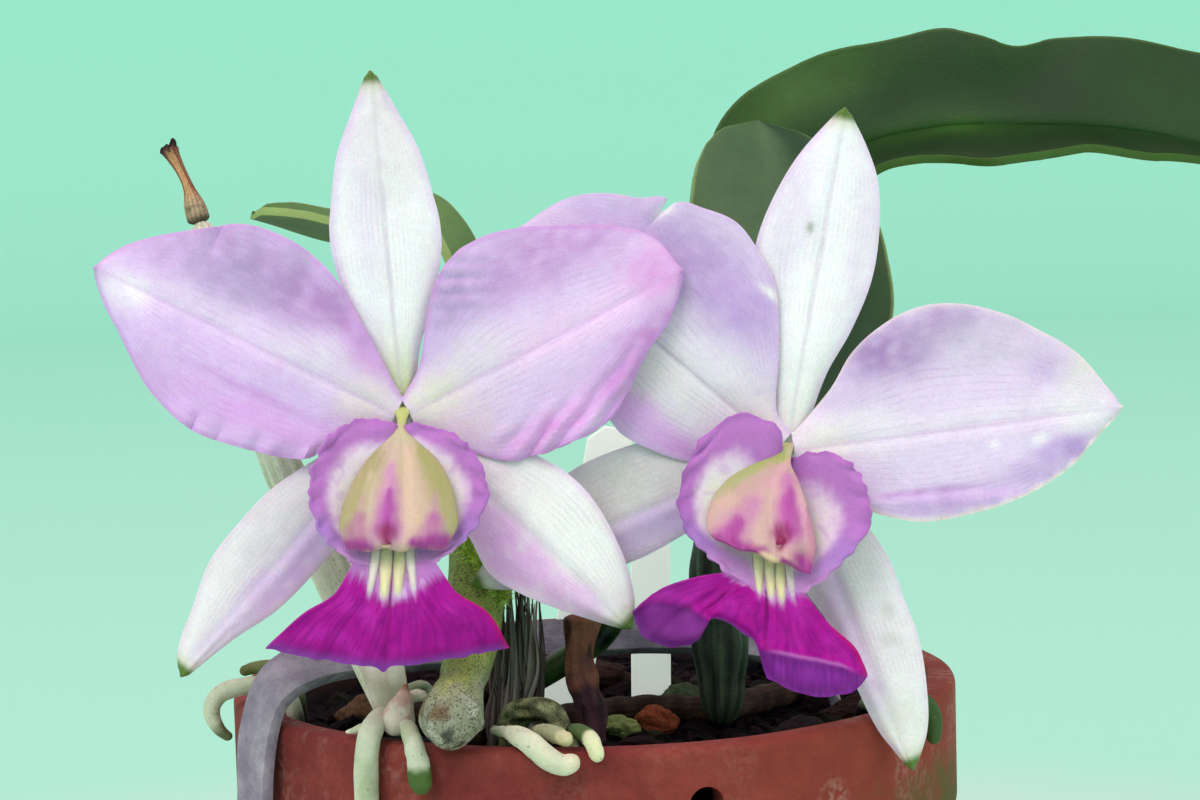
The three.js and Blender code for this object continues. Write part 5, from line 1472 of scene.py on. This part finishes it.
# ---- Columns ----
# The column joins the flower's stamen and pistil: a broad waxy shield with green flanks, a rosy
# middle and a magenta streak that ends over the small anther cap in its lower edge.
COLUMNS = {
    "left_flower": {
        "left": [(-1.9, 2, -0.8), (-1, -0.6, 1.6), (-1.5, -2.2, 3.8), (-3.6, -4.4, 5),
                 (-6.3, -7.3, 6.2), (-8.7, -10.9, 7.7), (-10.4, -14.9, 9.4), (-11, -18.6, 10.9),
                 (-9.8, -22.7, 12.5)],
        "right": [(1.7, 2, -0.8), (0.6, -0.6, 1.6), (0.7, -2.2, 3.8), (3, -4.4, 5),
                  (5.9, -7.2, 6.2), (8, -10.9, 7.7), (9.1, -14.9, 9.4), (9.3, -18.6, 10.9),
                  (7.2, -22.6, 12.5)],
        "streak": -0.24, "cap": (-3, -21.2, 14.3), "ground": "C8B09A",
        "paint": [
            (-4.6, -5.6, -10, -17.6, 1.2, 1.8, "A9A26E", 0.9),
            (3.2, -5.4, 8.8, -15.6, 1.3, 2.6, "A5A466", 0.95),
            (8.8, -14, 8.8, -20, 1.6, 1.4, "ADA674", 0.8),
            (-0.2, 2.4, -0.3, -2.4, 2.2, 1.6, "BCCB74", 0.95),
            (-6.8, -12.8, -7.4, -17, 0.2, 0.9, "B98A9C", 0.5),
            (5.6, -12.6, 5.2, -17, 0.2, 1, "C08CA6", 0.5),
            (-0.6, -3, -1, -6, 1.6, 1.8, "CDB8A6", 0.7),
            (0.4, -6.6, 1, -19, 1.4, 1.8, "D8BEA0", 0.8),
            (-5.4, -10, -6, -18.6, 0.7, 1.2, "C9BC98", 0.8),
            (-7.4, -17, -8.2, -20.8, 0.9, 2.2, "AE6A94", 0.8),
            (-9.9, -21.8, -6.2, -21.9, 1, 0.9, "9C3A8A", 0.95),
            (5.2, -17, 4.8, -20.4, 0.9, 2.4, "B464A0", 0.8),
            (1.6, -21.4, 6.8, -21.4, 0.8, 1.3, "9E3A8C", 0.95),
            (-1.9, -8.4, -2.9, -19, 0.7, 2.4, "CC88BC", 0.8),
            (-2.5, -12.6, -3, -18.6, 0.6, 1.7, "A93E9E", 0.85),
            (-3, -19.6, -2.9, -21.4, 1.3, 0.6, "8A1C56", 0.95),
        ],
    },
    "right_flower": {
        "left": [(-1.6, 1.8, -0.4), (-5, -1.6, 5), (-9.3, -4, 5.8), (-12.1, -7, 7),
                 (-13.7, -10.4, 8.8), (-13.8, -13.5, 10.6), (-12.1, -15.5, 12.4)],
        "right": [(1.5, 1.6, -0.4), (0.9, -2.1, 5), (2.1, -4.7, 5.8), (3.4, -8.1, 7),
                  (4.5, -12.1, 8.8), (5.4, -16.6, 10.6), (4.3, -21.1, 12.6)],
        "streak": 0.5, "cap": (-0.6, -15.7, 13.2), "ground": "C6A39A",
        "paint": [
            (0, 2, -0.6, -0.6, 1.6, 0.9, "B6C47A", 0.9),
            (-0.9, -0.5, -6.4, -2.5, 0.8, 1.1, "A3AE62", 0.95),
            (-6.4, -2.5, -11.8, -7.2, 1.1, 0.9, "A9AE72", 0.95),
            (-10.5, -8.6, -12.7, -12.3, 1.6, 1.8, "D2B3A2", 0.8),
            (-0.3, -2.4, -4, -8.5, 0.8, 1.6, "D9A4AC", 0.85),
            (-3, -7.6, -4.2, -14.6, 1.1, 2, "D2B0A6", 0.9),
            (-5.4, -8.8, -9.6, -14.4, 1.1, 2.8, "C584AE", 0.85),
            (-8, -12, -9.9, -14.8, 0.8, 1.9, "AC4498", 0.9),
            (-11.9, -15.3, -4.3, -17.3, 0.9, 0.9, "A23A8A", 0.95),
            (2.4, -7.1, 3.6, -15.1, 0.7, 1, "D4B0AC", 0.9),
            # Painted shade: a brownish line down the column's right edge.
            (3.9, -10.1, 5, -18.1, 0.4, 0.9, "B87A94", 0.7),
            (2.6, -18.4, 4, -20.6, 1.1, 1.8, "A8368E", 0.95),
            (-0.6, -18.8, 3.5, -21.3, 0.6, 0.8, "A03C88", 0.9),
            (-4.4, -17.8, -1.8, -18.9, 0.6, 0.6, "E2D2A4", 0.8),
            (0.3, -4.4, 0.7, -13.4, 0.9, 2.4, "CA7AB2", 0.85),
            (0.5, -7, 0.6, -13.2, 0.7, 1.6, "B64AA2", 0.85),
            (-0.6, -14.2, -0.7, -16, 1.5, 0.7, "8E1E5A", 0.95),
        ],
    },
}


def column(flower, left, right, streak, cap, ground, paint):
    """The column between its left and right edges, painted with strokes, and its anther cap. The
    streak is where across the column, from -1 to 1, its middle ridge runs."""
    left, right = smooth_line(left, 30), smooth_line(right, 30)

    def shape(u, v):
        run = 0.5 - 0.5 * cos(pi * v)
        turn = 2 * pi * u
        face = cos(turn)
        a, b = along(left, run), along(right, run)
        shut = sqrt(max(1 - max((run - 0.95) / 0.05, 0) ** 2, 0)) * sqrt(min(1, run / 0.03))
        p = a.lerp(b, 0.5 + 0.5 * face)
        p.y += 0.4 * cos((face - streak) * 2.9 * pi) * rise(0.86, 1, run) * (1 - 0.6 * abs(face))
        if sin(turn) > 0.05:
            groove = hump(face - streak - 0.3, 0.1) + hump(face - streak + 0.3, 0.1)
            ridge = hump(face - streak, 0.17) * rise(0.3, 0.7, run)
            ridge += 0.6 * (hump(face + 0.62, 0.2) + hump(face - 0.62, 0.2)) * rise(0.5, 0.9, run)
            lift = 0.8 * ridge - 0.6 * groove * rise(0.2, 0.6, run)
            p.z += lift * shut * rise(0.05, 0.4, sin(turn))
        return p + Vector((0, 0, max(0.13 * (b - a).length, 0.9) * sin(turn) * shut))

    def colour(u, v, p):
        shade = ground
        x = p.x + 0.5 * swell(p.x / 2, p.y / 2, 3) + 0.2 * swell(p.x * 1.6, p.y * 0.5, 3)
        y = p.y + 0.5 * swell(p.x / 2, p.y / 2, 6) + 0.15 * swell(p.x * 2.2, p.y * 0.3, 8)
        fine = 1 + 0.2 * swell(p.x * 2.4, p.y * 0.5, 1)
        for x0, y0, x1, y1, half, past, over, amount in paint:
            cover = stroke(x, y, (x0, y0), (x1, y1), half, past)
            shade = blend(shade, over, min(1, amount * fine) * cover)
        return shade

    form = sheet(shape, columns=160, rows=110, tint=colour)
    bmesh.ops.recalc_face_normals(form, faces=form.faces)
    bmesh.ops.transform(form, matrix=FLOWERS[flower], verts=form.verts)
    done(put(flower + "_column_body", form, wax), "column", flower + "_column")

    form = tinted()
    shade = form.verts.layers.float_color["tint"]
    bmesh.ops.create_uvsphere(form, u_segments=32, v_segments=20, radius=1)
    for point in form.verts:
        point.co *= 1 - 0.2 * hump(point.co.x, 0.25) * rise(0, 1, -point.co.y)
        point[shade] = (*blend("D8BE9C", "8E1E54", rise(-0.7, -0.2, point.co.y)), 1)
    place = Matrix.Translation(cap) @ Matrix.Diagonal((1.1, 1.1, 0.6, 1))
    bmesh.ops.transform(form, matrix=FLOWERS[flower] @ place, verts=form.verts)
    done(put(flower + "_anther_cap_shell", form, wax), "anther_cap", flower + "_anther_cap")


wax = Finish("column_wax", {
    "Roughness": 0.42, "Specular IOR Level": 0.35,
    "Subsurface Weight": 0.3, "Subsurface Scale": 1.5 * MM,
})
wax.colour(wax.mottle(wax.tint(), 0.5, 0.05))
wax.relief(wax.grain(0.5, 2), 0.04)
for flower, parts in COLUMNS.items():
    column(flower, **parts)

# ---- Strap ----
# A flat strap of grey rubbery webbing ties the plant down. It comes out of the bark, runs behind
# the canes across the pot, bends over the rim and hangs down outside.
STRAP_THICKNESS = 2.2
strap_rubber = Finish("strap_rubber", {"Roughness": 0.85, "Specular IOR Level": 0.2})
threads = strap_rubber.node("SeparateXYZ", {0: strap_rubber.node("TexCoord", out="UV")}, out=1)
worn = strap_rubber.ramp(strap_rubber.grain(6, 4), (0.35, 0), (0.7, 1))
pale = strap_rubber.mix(worn, "857D8C", "ADA5B0")
strap_rubber.colour(strap_rubber.mottle(strap_rubber.mottle(pale, 0.5, 0.12), 2, 0.1))
cords = strap_rubber.math("PINGPONG", strap_rubber.times(threads, 14), 0.5)
strap_rubber.relief(cords, 0.12)
strap_rubber.relief(strap_rubber.grain(1.2, 3), 0.35)
strap_width = [(0, 4.2), (45, 4.6), (75, 5), (105, 4), (150, 3.6), (240, 3.4)]
form = blade(
    [(-63, -39, 38), (-63, -39.2, 62), (-62.6, -38.8, 86), (-61.6, -38.2, 98),
     (-58.5, -36.6, 106.2), (-53, -33, 109.4), (-44.5, -28, 110.4), (-33, -23, 110.2),
     (-21.5, -18, 109.8), (-10, -13, 109.6), (10, -6.5, 109), (20, -2, 107.6), (34, 3, 104),
     (45, 1, 98), (47, -1, 93.6)],
    strap_width, strap_width,
    [(0.6, -0.8, 0)] * 3 + [(0.5, -0.75, -0.4), (0.35, -0.65, -0.7)] + [(0.25, -0.6, -0.75)] * 3,
    [(-0.6, 0.8, 0)] * 3 + [(-0.5, 0.75, 0.4), (-0.35, 0.65, 0.7)] + [(-0.25, 0.6, 0.75)] * 3,
    lambda s, edge: rgb("8A8290"), lambda s, edge: 0.25 * swell(s / 9, edge, 2),
    columns=220, rows=12, tip=0.01)
done(thicken(put("strap_webbing", form, strap_rubber), STRAP_THICKNESS), "strap_rubber", "strap")

# ---- Plant tags ----
# Two thin white plastic labels, bare and with one corner clipped, are pushed into the bark. Their
# faint glow is painted light: it brightens them in the flowers' shade, standing for light through
# the plastic.
tag_plastic = Finish("tag_plastic", {
    "Roughness": 0.4, "Subsurface Weight": 0.1, "Subsurface Scale": MM,
    "Emission Color": (0.9, 1, 0.93, 1), "Emission Strength": 0.4,
})
clean = tag_plastic.mottle("F2F4E8", 8, 0.04)
height = tag_plastic.node("SeparateXYZ", {0: tag_plastic.place(1)}, out=2)
low = tag_plastic.ramp(tag_plastic.math("DIVIDE", height, 150), (0.62, 1), (0.7, 0))
soiled = tag_plastic.times(low, tag_plastic.grain(3, 3))
tag_plastic.colour(tag_plastic.mix(soiled, clean, "C4C2AC"))
tag_plastic.relief(tag_plastic.grain(0.8, 2), 0.02)
TAG_THICKNESS = 0.9
TAGS = [  # each with its foot, its lean in degrees, its height, its width and its clipped corner
    ("plant_tag_front", (-6.2, 3, 92.4), 11, 57, 8.9, 3),
    ("plant_tag_back", (11, 8, 92.2), 1, 36, 7.8, 1),
]
for name, foot, lean, height, width, clip in TAGS:
    form = bmesh.new()
    corners = [(-width / 2, 0), (width / 2, 0), (width / 2, height), (clip - width / 2, height),
               (-width / 2, height - clip)]
    form.faces.new([form.verts.new((x, 0, z)) for x, z in corners])
    matrix = Matrix.Translation(foot) @ Matrix.Rotation(radians(lean), 4, "Y")
    bmesh.ops.transform(form, matrix=matrix, verts=form.verts)
    label = put(name + "_label", form, tag_plastic)
    label.data.shade_flat()
    done(thicken(label, TAG_THICKNESS), "tag_plastic", name)
